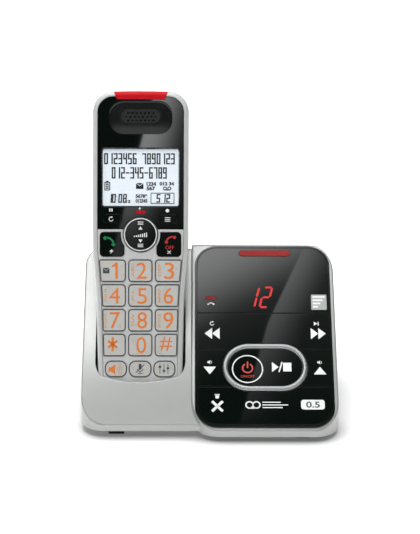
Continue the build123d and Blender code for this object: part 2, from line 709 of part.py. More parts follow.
def base_lower_housing():
    body = slab(plate_outline(), UNDERSIDE, PLATE_TOP)
    seat_top = PLATE_TOP + SPEAKER_RIM_HEIGHT
    body += rod(*SPEAKER_CENTRE, (PLATE_TOP, seat_top), 2 * SPEAKER_SEAT)
    body -= rod(*SPEAKER_CENTRE, (PLATE_TOP, seat_top), SPEAKER_DIAMETER + 2 * JACK_FIT)
    for slot in speaker_slots():
        body -= slot
    for x, size in ((LINE_JACK_X, LINE_JACK_SIZE), (POWER_JACK_X, POWER_JACK_SIZE)):
        half = size[0] / 2
        body += block((x - half, x + half), (BASE_DEPTH - size[1], BASE_DEPTH),
                      (UNDERSIDE, PLATE_TOP + JACK_SEAT))
    for x, y in COLUMN_POSITIONS:
        body -= rod(x, y, (0, PLATE_TOP + OVERCUT), BASE_SCREW_DIAMETER + 2 * SCREW_FIT)
        body -= rod(x, y, (0, UNDERSIDE + BASE_SCREW_HEAD_HEIGHT), BASE_SCREW_HEAD + 2 * SCREW_FIT)
    for foot in foot_blocks():
        body -= foot
    return {"base_lower_housing": single(body)}


def foot_blocks():
    """Four oblong pads, each let into the underside."""
    pad = slab(RectangleRounded(*FOOT_SIZE, FOOT_CORNER), 0, UNDERSIDE + FOOT_SINK)
    return [Pos(x, y) * pad for x, y in FOOT_POSITIONS]


def base_feet():
    return {"base_feet": Compound([single(foot) for foot in foot_blocks()])}


def screw(head_diameter, head_height, diameter, length):
    """Pan-head screw, head down, with the head's underside at the origin."""
    head = rod(0, 0, (-head_height, 0), head_diameter)
    slot = block((-head_diameter, head_diameter), (-SCREW_SLOT_HALF, SCREW_SLOT_HALF),
                 (-head_height, -head_height / 2))
    return single(head + rod(0, 0, (0, length), diameter) - slot)


def base_screws():
    closing = screw(BASE_SCREW_HEAD, BASE_SCREW_HEAD_HEIGHT, BASE_SCREW_DIAMETER, BASE_SCREW_LENGTH)
    holding = screw(SCREW_HEAD_DIAMETER, SCREW_HEAD_HEIGHT, SCREW_DIAMETER, BOARD_SCREW_LENGTH)
    screws = [Pos(x, y, UNDERSIDE + BASE_SCREW_HEAD_HEIGHT) * closing for x, y in COLUMN_POSITIONS]
    screws += [PANEL_PLACE * Pos(x, y, BOARD_LOW) * holding for x, y in BOSS_POSITIONS]
    return {"base_screws": Compound(screws)}


# ---------------------------------------------------------------- base: well and contacts
def contact_places():
    return [("left", CRADLE_X - CONTACT_OFFSET), ("right", CRADLE_X + CONTACT_OFFSET)]


def contact_block(x, margin, low, high):
    """Upright block at a contact, drawn in the handset's frame."""
    half_width = CONTACT_WIDTH / 2 + margin
    half_length = CONTACT_LENGTH / 2 + margin
    return block((x - CRADLE_X - half_width, x - CRADLE_X + half_width),
                 (CONTACT_DEPTH - half_length, CONTACT_DEPTH + half_length), (low, high))


def cradle_well():
    shell = (well_form(WELL_WALL) & inner_form()) - well_form(0)
    for _, x in contact_places():
        cut = contact_block(x, CONTACT_SLIDE_FIT, -WELL_CLEARANCE - WELL_WALL - OVERCUT, OVERCUT)
        shell -= HANDSET_PLACE * cut
    return {"cradle_well": single(shell)}


def charging_contacts():
    """Two sprung blocks with round tops, each held under the well's floor by a flange."""
    pieces = {}
    floor_low = -WELL_CLEARANCE - WELL_WALL
    for name, x in contact_places():
        flange_top = floor_low - CONTACT_SLIDE_FIT
        stem = contact_block(x, 0, flange_top - CONTACT_FLANGE, -CONTACT_GAP)
        top_edges = stem.edges().filter_by(Axis.X).group_by(Axis.Z)[-1]
        stem = fillet(top_edges, CONTACT_WIDTH / 2)
        flange = contact_block(x, CONTACT_FLANGE, flange_top - CONTACT_FLANGE, flange_top)
        pieces["charging_contact_" + name] = HANDSET_PLACE * single(stem + flange)
    return pieces


# ---------------------------------------------------------------- base: control panel
def control_panel_bezel():
    hollow = panel_outline(-PANEL_BORDER)
    wall = slab(panel_outline() - hollow, -WALL, PANEL_RAISE)
    flange = rounded((PANEL_LEFT, PANEL_RIGHT), grown((PANEL_BOTTOM, PANEL_TOP), PANEL_FLANGE),
                     PANEL_CORNER)
    floor = PANEL_PLACE.inverse() * (PANEL_PLACE * slab(flange, FLOOR_LOW, -WALL) & inner_form())
    body = wall + floor
    for places in post_positions().values():
        for x, y in places:
            body -= rod(x, y, (FLOOR_LOW - OVERCUT, 0), 2 * (POST_RADIUS + POST_CLEARANCE))
    body -= slab(Pos(*COUNTER_CENTRE) * Rectangle(*(size + 2 * JACK_FIT for size in COUNTER_SIZE)),
                 FLOOR_LOW - OVERCUT, 0)
    for centre, size in ((LIGHT_BAR_CENTRE, LIGHT_BAR_SIZE), (IN_USE_CENTRE, IN_USE_SIZE)):
        narrow = SlotOverall(size[0] - size[1] / 2, size[1] / 2)
        body -= slab(Pos(*centre) * narrow, FLOOR_LOW - OVERCUT, 0)
    for x, y in BOSS_POSITIONS:
        body += rod(x, y, (-BOARD_DEPTH, FLOOR_LOW), BOSS_DIAMETER)
        body -= rod(x, y, (-BOARD_DEPTH, BOARD_LOW + BOARD_SCREW_LENGTH + HOLE_ROOM),
                    SCREW_DIAMETER + 2 * SCREW_FIT)
    return {"control_panel_bezel": PANEL_PLACE * single(body)}


def row_cap(x_range, row, low, high):
    """Flat cap that fills one row of the panel, clear of the border and of the ring."""
    gap = KEY_GAP
    area = Pos(middle(x_range), middle(row)) * Rectangle(x_range[1] - x_range[0],
                                                         row[1] - row[0] - 2 * gap)
    shape = (area & panel_outline(-PANEL_BORDER - gap)) - ring_outline(gap)
    return slab(shape, low, high)


def message_window():
    full = (PANEL_LEFT, PANEL_RIGHT)
    body = row_cap(full, ROW_WINDOW, -WALL, PANEL_RAISE)
    edge = WINDOW_LIP + KEY_GAP
    low, high = ROW_WINDOW
    inner = (Pos(middle(full), middle(ROW_WINDOW)) * Rectangle(full[1] - full[0], high - low - 2 * edge)
             & panel_outline(-PANEL_BORDER - edge))
    body -= slab(inner, -WALL, PANEL_RAISE - WINDOW_THICKNESS)
    for centre, size in ((LIGHT_BAR_CENTRE, LIGHT_BAR_SIZE), (IN_USE_CENTRE, IN_USE_SIZE)):
        opening = SlotOverall(size[0] + 2 * SLOT_CLEARANCE, size[1] + 2 * SLOT_CLEARANCE)
        body -= slab(Pos(*centre) * opening, -WALL - OVERCUT, PANEL_RAISE + OVERCUT)
    return {"message_window": PANEL_PLACE * single(body)}


def panel_lights():
    lights = {}
    for name, centre, size, rise in (
            ("base_ringer_light", LIGHT_BAR_CENTRE, LIGHT_BAR_SIZE, LIGHT_BAR_RISE),
            ("in_use_light", IN_USE_CENTRE, IN_USE_SIZE, IN_USE_RISE)):
        lens = slab(Pos(*centre) * SlotOverall(*size), -WALL, PANEL_RAISE + rise)
        lights[name] = PANEL_PLACE * single(lens)
    return lights


def message_counter():
    case = slab(Pos(*COUNTER_CENTRE) * Rectangle(*COUNTER_SIZE), -BOARD_DEPTH,
                PANEL_RAISE - WINDOW_THICKNESS - COUNTER_GAP)
    return {"message_counter": PANEL_PLACE * single(case)}


def play_key_ring():
    band = slab(ring_outline() - ring_outline(-RING_BAND), -WALL, RING_RAISE)
    top = band.edges().group_by(Axis.Z)[-1]
    return {"play_key_ring": PANEL_PLACE * single(fillet(top, RING_ROUND))}


def posts(name):
    """Posts under one key of the panel."""
    return [rod(x, y, (POST_LOW, CAP_LOW), 2 * POST_RADIUS) for x, y in post_positions()[name]]


def pivot(row_centre):
    """Half-round rib on which a long key rocks."""
    axis_z = pivot_height()
    x = RING_CENTRE[0]
    half = PIVOT_LENGTH / 2
    rib = block((x - PIVOT_RADIUS, x + PIVOT_RADIUS), (row_centre - half, row_centre + half),
                (axis_z, CAP_LOW))
    turned = Pos(x, row_centre - half, axis_z) * Rot(-90, 0, 0)
    return rib + turned * extrude(Circle(PIVOT_RADIUS), PIVOT_LENGTH)


def pivot_height():
    return -WALL + PIVOT_CLEARANCE + PIVOT_RADIUS


def pivot_rows():
    """Middle of each pivot rib, clear of the ring."""
    ring_low = RING_CENTRE[1] - RING_HEIGHT / 2
    ring_high = RING_CENTRE[1] + RING_HEIGHT / 2
    return {"delete_slow_key": middle((ROW_BOTTOM[0], ring_low)),
            "repeat_skip_key": middle((ring_high, ROW_UPPER[1]))}


def panel_keys():
    keys = {}
    full = (PANEL_LEFT, PANEL_RIGHT)
    for name, row in (("delete_slow_key", ROW_BOTTOM), ("repeat_skip_key", ROW_UPPER)):
        keys[name] = row_cap(full, row, CAP_LOW, PANEL_RAISE) + pivot(pivot_rows()[name])
    split = RING_CENTRE[0]
    for name, x_range in (("volume_down_key", (PANEL_LEFT, split)),
                          ("volume_up_key", (split, PANEL_RIGHT))):
        keys[name] = single(row_cap(x_range, ROW_MIDDLE, CAP_LOW, PANEL_RAISE))
    power_hole = Pos(*POWER_CENTRE) * Circle(POWER_DIAMETER / 2 + KEY_GAP)
    keys["play_stop_key"] = slab(ring_outline(-RING_BAND - KEY_GAP) - power_hole, CAP_LOW, PLAY_RAISE)
    keys["answer_on_off_key"] = rod(*POWER_CENTRE, (CAP_LOW, POWER_RAISE), POWER_DIAMETER)
    for name in keys:
        for post in posts(name):
            keys[name] += post
        keys[name] = PANEL_PLACE * single(keys[name])
    return keys


def base_board_outline():
    left = PANEL_LEFT + BOARD_INSET
    right = PANEL_RIGHT - BOARD_INSET
    shape = make_face(Polyline((left, BOARD_BOTTOM), (right, BOARD_BOTTOM), (right, BOARD_TOP),
                               (left, BOARD_TOP), close=True))
    for x in (left, right):
        shape = corner(shape, x, BOARD_BOTTOM, BOARD_CORNER)
        shape = corner(shape, x, BOARD_TOP, BOARD_TOP_CORNER)
    return shape


def base_circuit_board():
    body = slab(base_board_outline(), BOARD_LOW, -BOARD_DEPTH)
    for shift, y, size in BOARD_COMPONENTS:
        body += Pos(PANEL_MIDDLE + shift, y, BOARD_LOW - size[2] / 2) * Box(*size)
    for shift, y in BOARD_CAPACITORS:
        body += rod(PANEL_MIDDLE + shift, y, (BOARD_LOW - CAPACITOR_SIZE[1], BOARD_LOW),
                    CAPACITOR_SIZE[0])
    for x, y in BOSS_POSITIONS:
        body -= rod(x, y, (BOARD_LOW - OVERCUT, 0), SCREW_DIAMETER + 2 * SCREW_FIT)
    return {"base_circuit_board": PANEL_PLACE * single(body)}


def base_key_membrane():
    x_range = (PANEL_LEFT + BOARD_INSET, PANEL_RIGHT - BOARD_INSET)
    sheet = slab(rounded(x_range, (BOARD_BOTTOM, ROW_LINES[2] - KEY_GAP), BOARD_CORNER),
                 -BOARD_DEPTH, -BOARD_DEPTH + MEMBRANE_THICKNESS)
    for places in post_positions().values():
        for x, y in places:
            sheet -= rod(x, y, (-BOARD_DEPTH - OVERCUT, 0), 2 * (POST_RADIUS + POST_CLEARANCE))
    for x, y in BOSS_POSITIONS:
        sheet -= rod(x, y, (-BOARD_DEPTH - OVERCUT, 0), BOSS_DIAMETER + 2 * JACK_FIT)
    return {"base_key_membrane": PANEL_PLACE * single(sheet)}


# ---------------------------------------------------------------- base: loudspeaker and jacks
def loudspeaker(diameter, height, magnet_diameter, rim_height):
    """Loudspeaker with its mouth at z = 0: rim, tapering basket and magnet."""
    rim = extrude(Circle(diameter / 2), rim_height)
    basket_top = height * BASKET_SHARE
    basket = loft([Pos(0, 0, rim_height) * Circle(diameter / 2 - BASKET_STEP),
                   Pos(0, 0, basket_top) * Circle(magnet_diameter / 2 - MAGNET_STEP)])
    magnet = Pos(0, 0, basket_top) * extrude(Circle(magnet_diameter / 2), height - basket_top)
    cone = Pos(0, 0, rim_height * CONE_SHARE) * extrude(Circle(diameter / 2 - CONE_EDGE), -rim_height)
    return single(rim + basket + magnet - cone)


def base_loudspeaker():
    speaker = loudspeaker(SPEAKER_DIAMETER, SPEAKER_HEIGHT, SPEAKER_MAGNET_DIAMETER, SPEAKER_RIM_HEIGHT)
    return {"base_loudspeaker": Pos(*SPEAKER_CENTRE, PLATE_TOP) * speaker}


def jack_case(x, size):
    low = PLATE_TOP + JACK_SEAT
    return block((x - size[0] / 2, x + size[0] / 2), (BASE_DEPTH - size[1], BASE_DEPTH),
                 (low, low + size[2]))


def line_socket_low():
    return PLATE_TOP + JACK_SEAT + (LINE_JACK_SIZE[2] - LINE_SOCKET_HEIGHT) / 2 + LINE_SOCKET_RISE


def line_jack():
    body = jack_case(LINE_JACK_X, LINE_JACK_SIZE)
    depth = (BASE_DEPTH - LINE_SOCKET_DEPTH, BASE_DEPTH + OVERCUT)
    low = line_socket_low()
    half = LINE_SOCKET_WIDTH / 2
    body -= block((LINE_JACK_X - half, LINE_JACK_X + half), depth, (low, low + LINE_SOCKET_HEIGHT))
    body -= block((LINE_JACK_X - LATCH_HALF_WIDTH, LINE_JACK_X + LATCH_HALF_WIDTH), depth,
                  (low - LATCH_DEPTH, low))
    return {"line_jack": single(body)}


def power_axis():
    """Centre of the power inlet's mouth."""
    return (POWER_JACK_X, BASE_DEPTH, PLATE_TOP + JACK_SEAT + POWER_JACK_SIZE[2] / 2)


def power_jack():
    mouth = Pos(*power_axis()) * Rot(90, 0, 0)
    bore = mouth * extrude(Circle(POWER_BORE / 2), POWER_BORE_DEPTH)
    pin_foot = Pos(0, 0, POWER_BORE_DEPTH - POWER_PIN_LENGTH)
    pin = mouth * pin_foot * extrude(Circle(POWER_PIN_DIAMETER / 2), POWER_PIN_LENGTH)
    return {"power_jack": single(jack_case(POWER_JACK_X, POWER_JACK_SIZE) - bore + pin)}


# ---------------------------------------------------------------- handset: outer form
def handset_outline(inset=0.0):
    """Front view of the handset: wide above, drawn in to a waist, round at every corner."""
    top = HANDSET_TOP_HALF - inset
    waist = HANDSET_WAIST_HALF - inset
    foot = HANDSET_BOTTOM_HALF - inset
    high = HANDSET_LENGTH - inset
    shoulder = high - HANDSET_TOP_CROWN
    lean = (waist - foot) / (WAIST_START - inset)
    side = (Line((foot, inset), (waist, WAIST_START))
            + Spline((waist, WAIST_START), (top, WAIST_END), tangents=[(lean, 1), (0, 1)])
            + Line((top, WAIST_END), (top, shoulder)))
    crown = ThreePointArc((top, shoulder), (0, high), (-top, shoulder))
    shape = make_face(side + mirror(side, Plane.YZ) + crown + Line((-foot, inset), (foot, inset)))
    for sign in (-1, 1):
        shape = corner(shape, sign * foot, inset, HANDSET_BOTTOM_CORNER - inset)
        shape = corner(shape, sign * top, shoulder, HANDSET_TOP_CORNER - inset)
    return shape


def handset_form(inset, face_round):
    """Body of the handset, or with an inset the space inside it."""
    solid = plate(handset_outline(inset), inset, HANDSET_THICKNESS - inset)
    solid = fillet(solid.edges().group_by(Axis.Y)[-1], HANDSET_BACK_ROUND - inset)
    return fillet(solid.edges().group_by(Axis.Y)[0], face_round) if face_round else solid


def depth_zone(front, back):
    """Everything between two depths of the handset."""
    half = HANDSET_TOP_HALF + PAD_MARGIN
    return block((-half, half), (front, back), grown((0, HANDSET_LENGTH), PAD_MARGIN))


def ringer_wedge(grow):
    """Space of the light bar at the top edge, with sides that slant outwards towards the top."""
    low = HANDSET_LENGTH - RINGER_DOWN - grow
    high = HANDSET_LENGTH + PAD_MARGIN
    half = HANDSET_TOP_HALF - RINGER_INSET + grow
    narrow = half - RINGER_DOWN * RINGER_SLANT
    wide = half + PAD_MARGIN * RINGER_SLANT
    area = make_face(Polyline((-narrow, low), (narrow, low), (wide, high), (-wide, high), close=True))
    bar = plate(area, -OVERCUT, RINGER_DEPTH + grow)
    return bar - plate(handset_outline(HANDSET_WALL), BEZEL_BACK, RINGER_DEPTH + PAD_MARGIN)


def contact_plates():
    """The two charging plates with their inner flanges, as solids and as cuts."""
    shapes = []
    for side in (-1, 1):
        x = side * CONTACT_OFFSET
        half = PLATE_WIDTH / 2
        depth = (CONTACT_DEPTH - PLATE_LENGTH / 2, CONTACT_DEPTH + PLATE_LENGTH / 2)
        face = block((x - half, x + half), depth, (0, HANDSET_WALL))
        tab = block((x - half - TAB_MARGIN, x + half + TAB_MARGIN), depth,
                    (HANDSET_WALL, HANDSET_WALL + TAB_THICKNESS))
        shapes.append(face + tab)
    return shapes


def screw_back():
    """Depth of the screw heads' seats."""
    return HANDSET_THICKNESS - PAD_SCREW_SINK - PAD_SCREW_HEAD_HEIGHT


def screw_hole(x, z):
    tip = screw_back() - PAD_SCREW_LENGTH - HOLE_ROOM
    outside = HANDSET_THICKNESS + OVERCUT
    hole = barrel(x, z, tip, outside, PAD_SCREW_DIAMETER + 2 * SCREW_FIT)
    return hole + barrel(x, z, screw_back(), outside, PAD_SCREW_HEAD + 2 * SCREW_FIT)


def handset_front_housing():
    body = handset_form(0, HANDSET_FACE_ROUND) & depth_zone(-OVERCUT, HANDSET_SPLIT)
    body -= plate(handset_outline(HANDSET_RIM), -OVERCUT, BEZEL_BACK)
    ledge_inset = HANDSET_RIM + BEZEL_LEDGE
    body -= plate(handset_outline(ledge_inset), -OVERCUT, LEDGE_BACK)
    body -= plate(handset_outline(HANDSET_WALL), LEDGE_BACK, HANDSET_SPLIT + OVERCUT)
    keys_zone = block((-HANDSET_TOP_HALF, HANDSET_TOP_HALF), (-OVERCUT, LEDGE_BACK),
                      grown((FUNCTION_RANGE[0], CALL_KEY_RANGE[1]), LEDGE_OPENING))
    body -= keys_zone & plate(handset_outline(HANDSET_RIM), -OVERCUT, LEDGE_BACK)
    body -= ringer_wedge(SLOT_CLEARANCE)
    for x, z in PAD_BOSSES:
        body += barrel(x, z, BEZEL_BACK, PAD_BOARD_DEPTH, PAD_SHOULDER)
        body += barrel(x, z, BEZEL_BACK, PAD_BOSS_JOINT, PAD_BOSS_DIAMETER)
        body -= screw_hole(x, z)
    for cut in contact_plates():
        body -= cut
    return {"handset_front_housing": single(body)}


def bay_block(margin, front, back):
    half = BATTERY_WIDTH / 2 + BAY_ROOM + margin
    low = BATTERY_BOTTOM - BAY_ROOM - margin
    high = BATTERY_BOTTOM + BATTERY_HEIGHT + BAY_ROOM + margin
    return block((-half, half), (front, back), (low, high))


def door_face(grow):
    x_range = (-DOOR_HALF_WIDTH - grow, DOOR_HALF_WIDTH + grow)
    return rounded(x_range, (DOOR_RANGE[0] - grow, DOOR_RANGE[1] + grow), DOOR_CORNER + grow)


def back_slots():
    """Sound slots of the loudspeaker in the handset's back."""
    slots = []
    for index in range(BACK_SLOTS):
        shift = (index - (BACK_SLOTS - 1) / 2) * BACK_SLOT_PITCH
        reach = BACK_SPEAKER_DIAMETER / 2 - BACK_SLOT_EDGE
        length = 2 * (reach ** 2 - shift ** 2) ** 0.5
        slot = Pos(0, BACK_SPEAKER_CENTRE + shift) * SlotOverall(length, BACK_SLOT_WIDTH)
        slots.append(plate(slot, BACK_INNER - OVERCUT, HANDSET_THICKNESS + OVERCUT))
    return slots


def handset_rear_housing():
    form = handset_form(0, 0)
    body = form & depth_zone(HANDSET_SPLIT, HANDSET_THICKNESS + OVERCUT)
    body -= handset_form(HANDSET_WALL, 0)
    body += plate(door_face(BAY_WALL), BACK_INNER - DOOR_SEAT, BACK_INNER)
    body += bay_block(BAY_WALL, BAY_FRONT, BACK_INNER)
    boss_back = HANDSET_THICKNESS - HANDSET_WALL / 2
    for x, z in PAD_BOSSES:
        body += barrel(x, z, PAD_BOSS_JOINT, boss_back, PAD_BOSS_DIAMETER) & form
    body -= bay_block(0, BAY_FRONT + BAY_WALL, BACK_INNER + OVERCUT)
    body -= plate(door_face(DOOR_FIT), BACK_INNER, HANDSET_THICKNESS + OVERCUT)
    for slot in back_slots():
        body -= slot
    for x, z in PAD_BOSSES:
        body -= screw_hole(x, z)
    for cut in contact_plates():
        body -= cut
    return {"handset_rear_housing": single(body)}


def battery_door():
    door = plate(door_face(0), BACK_INNER, HANDSET_THICKNESS) & handset_form(0, 0)
    grip = Pos(0, DOOR_RANGE[1] - GRIP_FROM_TOP) * SlotOverall(*GRIP_SIZE)
    door -= plate(grip, HANDSET_THICKNESS - GRIP_DEPTH, HANDSET_THICKNESS + OVERCUT)
    return {"battery_door": single(door)}


def battery_pack():
    """Two cells side by side in one sleeve."""
    radius = BATTERY_THICKNESS / 2
    sleeve = RectangleRounded(BATTERY_WIDTH, BATTERY_THICKNESS, radius - NEARLY)
    pack = Pos(0, BATTERY_DEPTH + radius, BATTERY_BOTTOM) * extrude(sleeve, BATTERY_HEIGHT)
    return {"battery_pack": single(pack)}


def handset_screws():
    one = screw(PAD_SCREW_HEAD, PAD_SCREW_HEAD_HEIGHT, PAD_SCREW_DIAMETER, PAD_SCREW_LENGTH)
    screws = [Pos(x, screw_back(), z) * Rot(90, 0, 0) * one for x, z in PAD_BOSSES]
    return {"handset_screws": Compound(screws)}


def handset_ringer_light():
    bar = handset_form(0, HANDSET_FACE_ROUND) & ringer_wedge(0)
    return {"handset_ringer_light": single(bar)}


# ---------------------------------------------------------------- handset: key outlines
def key_outlines(grow=0.0):
    """Flat outline of every push key of the handset, or with growth of its hole or flange."""
    outlines = {}
    names = (("key_1", "key_2", "key_3"), ("key_4", "key_5", "key_6"),
             ("key_7", "key_8", "key_9"), ("key_star", "key_0", "key_pound"))
    side = handset_outline(HANDSET_RIM + SIDE_KEY_MARGIN - grow)
    for row, z_range in zip(names, row_ranges()):
        for column, name in enumerate(row):
            outlines[name] = number_key(column - 1, grown(z_range, grow), side, grow)
    outer = HANDSET_BOTTOM_HALF - FUNCTION_INSET
    columns = three_columns(FUNCTION_MIDDLE_HALF, FUNCTION_SPACE, outer)
    for name, x_range in zip(("speaker_key", "mute_key", "audio_assist_key"), columns):
        outlines[name] = rounded(grown(x_range, grow), grown(FUNCTION_RANGE, grow),
                                 FUNCTION_CORNER + grow)
    for name, sign in (("talk_key", -1), ("off_key", 1)):
        outlines[name] = call_key(sign, side, grow)
    for name, sign in (("redial_key", -1), ("menu_key", 1)):
        x_range = sorted(sign * edge for edge in SOFT_KEY_EDGES)
        outlines[name] = rounded(grown(x_range, grow), grown(SOFT_KEY_RANGE, grow),
                                 SOFT_KEY_CORNER + grow)
    return outlines


def row_ranges():
    """Height limits of the rows of number keys, from the top row down."""
    tops = [ROWS_HIGH - row * ROW_PITCH for row in range(ROW_COUNT)]
    return [(top - ROW_PITCH + ROW_SPACE, top) for top in tops]


def three_columns(middle_half, space, outer):
    """Limits of three keys side by side."""
    inner = middle_half + space
    return ((-outer, -inner), (-middle_half, middle_half), (inner, outer))


def number_key(column, z_range, side, grow):
    """One number key of column -1, 0 or 1. Outer columns run out to the rim and follow it."""
    columns = three_columns(MIDDLE_KEY_HALF, COLUMN_SPACE, HANDSET_TOP_HALF)
    low, high = columns[column + 1]
    x_range = (low - grow if column >= 0 else low, high + grow if column <= 0 else high)
    area = Pos(middle(x_range), middle(z_range)) * Rectangle(x_range[1] - x_range[0],
                                                             z_range[1] - z_range[0])
    shape = (area & side).faces()[0]
    left_radius = (KEY_OUTER_CORNER if column < 0 else KEY_CORNER) + grow
    right_radius = (KEY_OUTER_CORNER if column > 0 else KEY_CORNER) + grow
    for z in z_range:
        shape = corner(shape, x_range[0], z, left_radius)
        shape = corner(shape, x_range[1], z, right_radius)
    return shape


def call_key(sign, side, grow):
    """Talk or off key, inside the rim and hollowed where the round navigation key sits."""
    x_range = sorted(sign * edge for edge in CALL_KEY_EDGES)
    shape = rounded(grown(x_range, grow), grown(CALL_KEY_RANGE, grow), KEY_CORNER + grow) & side
    hollow = Pos(0, NAV_CENTRE) * Circle(NAV_HOLE_RADIUS + CALL_KEY_NAV_GAP - grow)
    return (shape - hollow).faces()[0]


def key_middle(outline):
    box = outline.bounding_box()
    return (box.center().X, box.center().Y)


def stem_places():
    return {name: key_middle(outline) for name, outline in key_outlines().items()}


def push_keys():
    """Every push key: cap, flange under the bezel and stem."""
    keys = {}
    flanges = key_outlines(FLANGE_MARGIN)
    for name, outline in key_outlines().items():
        x, z = key_middle(outline)
        body = plate(outline, -PAD_KEY_RAISE, FLANGE_FRONT)
        body += plate(flanges[name], FLANGE_FRONT, FLANGE_BACK)
        body += barrel(x, z, FLANGE_FRONT, STEM_END, 2 * STEM_RADIUS)
        keys[name] = single(body)
    return keys


def navigation_key():
    """Round rocker on a ball foot."""
    disc = barrel(0, NAV_CENTRE, -NAV_RAISE, NAV_BACK, 2 * NAV_RADIUS)
    dish = barrel(0, NAV_CENTRE, -NAV_RAISE - OVERCUT, -NAV_RAISE + NAV_DISH_DEPTH, 2 * NAV_DISH_RADIUS)
    neck = barrel(0, NAV_CENTRE, NAV_BACK, NAV_BALL_DEPTH, 2 * NAV_BALL_RADIUS)
    ball = Pos(0, NAV_BALL_DEPTH, NAV_CENTRE) * Sphere(NAV_BALL_RADIUS)
    return {"navigation_key": single(disc - dish + neck + ball)}


# ---------------------------------------------------------------- handset: bezels and inner pieces
def nav_hole():
    return barrel(0, NAV_CENTRE, -OVERCUT, BEZEL_BACK + OVERCUT, 2 * NAV_HOLE_RADIUS)


def key_holes(names):
    outlines = key_outlines(KEY_GAP)
    return [plate(outlines[name], -OVERCUT, BEZEL_BACK + OVERCUT) for name in names]


def bezel_blank(z_range):
    """Face plate between two heights, a seam clear of the rim."""
    area = Pos(0, middle(z_range)) * Rectangle(4 * HANDSET_TOP_HALF, z_range[1] - z_range[0])
    return plate(area & handset_outline(HANDSET_RIM + SEAM), FACE_SINK, BEZEL_BACK) - nav_hole()


def handset_keypad_bezel():
    body = bezel_blank((0, BEZEL_SPLIT))
    names = [name for name in key_outlines() if name not in SOFT_KEYS]
    for hole in key_holes(names):
        body -= hole
    return {"handset_keypad_bezel": single(body)}


def display_face(grow):
    half = DISPLAY_HALF + grow
    return rounded((-half, half), (DISPLAY_RANGE[0] - grow, DISPLAY_RANGE[1] + grow),
                   DISPLAY_CORNER + max(grow, 0))


def grille_holes():
    """Staggered rows of round sound holes."""
    places = []
    for row, count in enumerate(EAR_ROW_HOLES):
        z = EAR_GRILLE[1] + (row - (len(EAR_ROW_HOLES) - 1) / 2) * EAR_ROW_PITCH
        for index in range(count):
            places.append((EAR_GRILLE[0] + (index - (count - 1) / 2) * EAR_HOLE_PITCH, z))
    return places


def handset_display_bezel():
    body = bezel_blank((BEZEL_SPLIT, HANDSET_LENGTH))
    for hole in key_holes(SOFT_KEYS):
        body -= hole
    body -= plate(display_face(0), -OVERCUT, BEZEL_BACK + OVERCUT)
    body -= plate(display_face(WINDOW_BORDER + SLOT_CLEARANCE), -OVERCUT, WINDOW_BACK)
    recess = rounded((-EAR_RECESS_HALF, EAR_RECESS_HALF), EAR_RECESS_RANGE, EAR_RECESS_CORNER)
    body -= plate(recess, -OVERCUT, FACE_SINK + EAR_RECESS_DEPTH)
    holes = [Pos(x, z) * Circle(EAR_HOLE_DIAMETER / 2) for x, z in grille_holes()]
    body -= plate(Sketch() + holes, -OVERCUT, BEZEL_BACK + OVERCUT)
    light_hole = SlotOverall(*(size + 2 * SLOT_CLEARANCE for size in CHARGE_LIGHT_SIZE))
    body -= plate(Pos(*CHARGE_LIGHT) * light_hole, -OVERCUT, BEZEL_BACK + OVERCUT)
    body -= ringer_wedge(SLOT_CLEARANCE)
    return {"handset_display_bezel": single(body)}


def handset_display_window():
    return {"handset_display_window": single(plate(display_face(WINDOW_BORDER), FACE_SINK, WINDOW_BACK))}


def handset_display_module():
    module = plate(display_face(MODULE_BORDER), BEZEL_BACK, BEZEL_BACK + MODULE_THICKNESS)
    return {"handset_display_module": single(module)}


def charge_light():
    lens = plate(Pos(*CHARGE_LIGHT) * SlotOverall(*CHARGE_LIGHT_SIZE), FACE_SINK, PAD_BOARD_DEPTH)
    return {"charge_light": single(lens)}


def earpiece_speaker():
    x, z = EAR_GRILLE
    body = barrel(x, z, BEZEL_BACK, BEZEL_BACK + EAR_SPEAKER_THICKNESS, EAR_SPEAKER_DIAMETER)
    body -= barrel(x, z, BEZEL_BACK - OVERCUT, BEZEL_BACK + EAR_CONE_DEPTH, EAR_CONE_DIAMETER)
    return {"earpiece_speaker": single(body)}


def handset_loudspeaker():
    z = BACK_SPEAKER_CENTRE
    body = barrel(0, z, BACK_INNER - BACK_SPEAKER_THICKNESS, BACK_INNER, BACK_SPEAKER_DIAMETER)
    body -= barrel(0, z, BACK_INNER - BACK_CONE_DEPTH, BACK_INNER + OVERCUT, BACK_CONE_DIAMETER)
    return {"handset_loudspeaker": single(body)}


def pad_board_face(z_range):
    area = Pos(0, middle(z_range)) * Rectangle(4 * HANDSET_TOP_HALF, z_range[1] - z_range[0])
    return area & handset_outline(PAD_BOARD_INSET)


def handset_circuit_board():
    back = PAD_BOARD_DEPTH + PAD_BOARD_THICKNESS
    z_range = (PAD_BOARD_BOTTOM, HANDSET_LENGTH - PAD_BOARD_DOWN)
    body = plate(pad_board_face(z_range), PAD_BOARD_DEPTH, back)
    for x, down, size in PAD_COMPONENTS:
        body += Pos(x, back + size[2] / 2, HANDSET_LENGTH - down) * Box(size[0], size[2], size[1])
    width, height, depth = CONNECTOR_SIZE
    body += Pos(0, back + depth / 2, CONNECTOR_UP) * Box(width, depth, height)
    microphone = barrel(*MICROPHONE_PLACE, PAD_BOARD_DEPTH - MICROPHONE_HEIGHT, PAD_BOARD_DEPTH,
                        MICROPHONE_DIAMETER)
    body += microphone
    for x, z in PAD_BOSSES:
        body -= barrel(x, z, 0, HANDSET_THICKNESS, PAD_BOSS_DIAMETER + 2 * SLOT_CLEARANCE)
    return {"handset_circuit_board": single(body)}


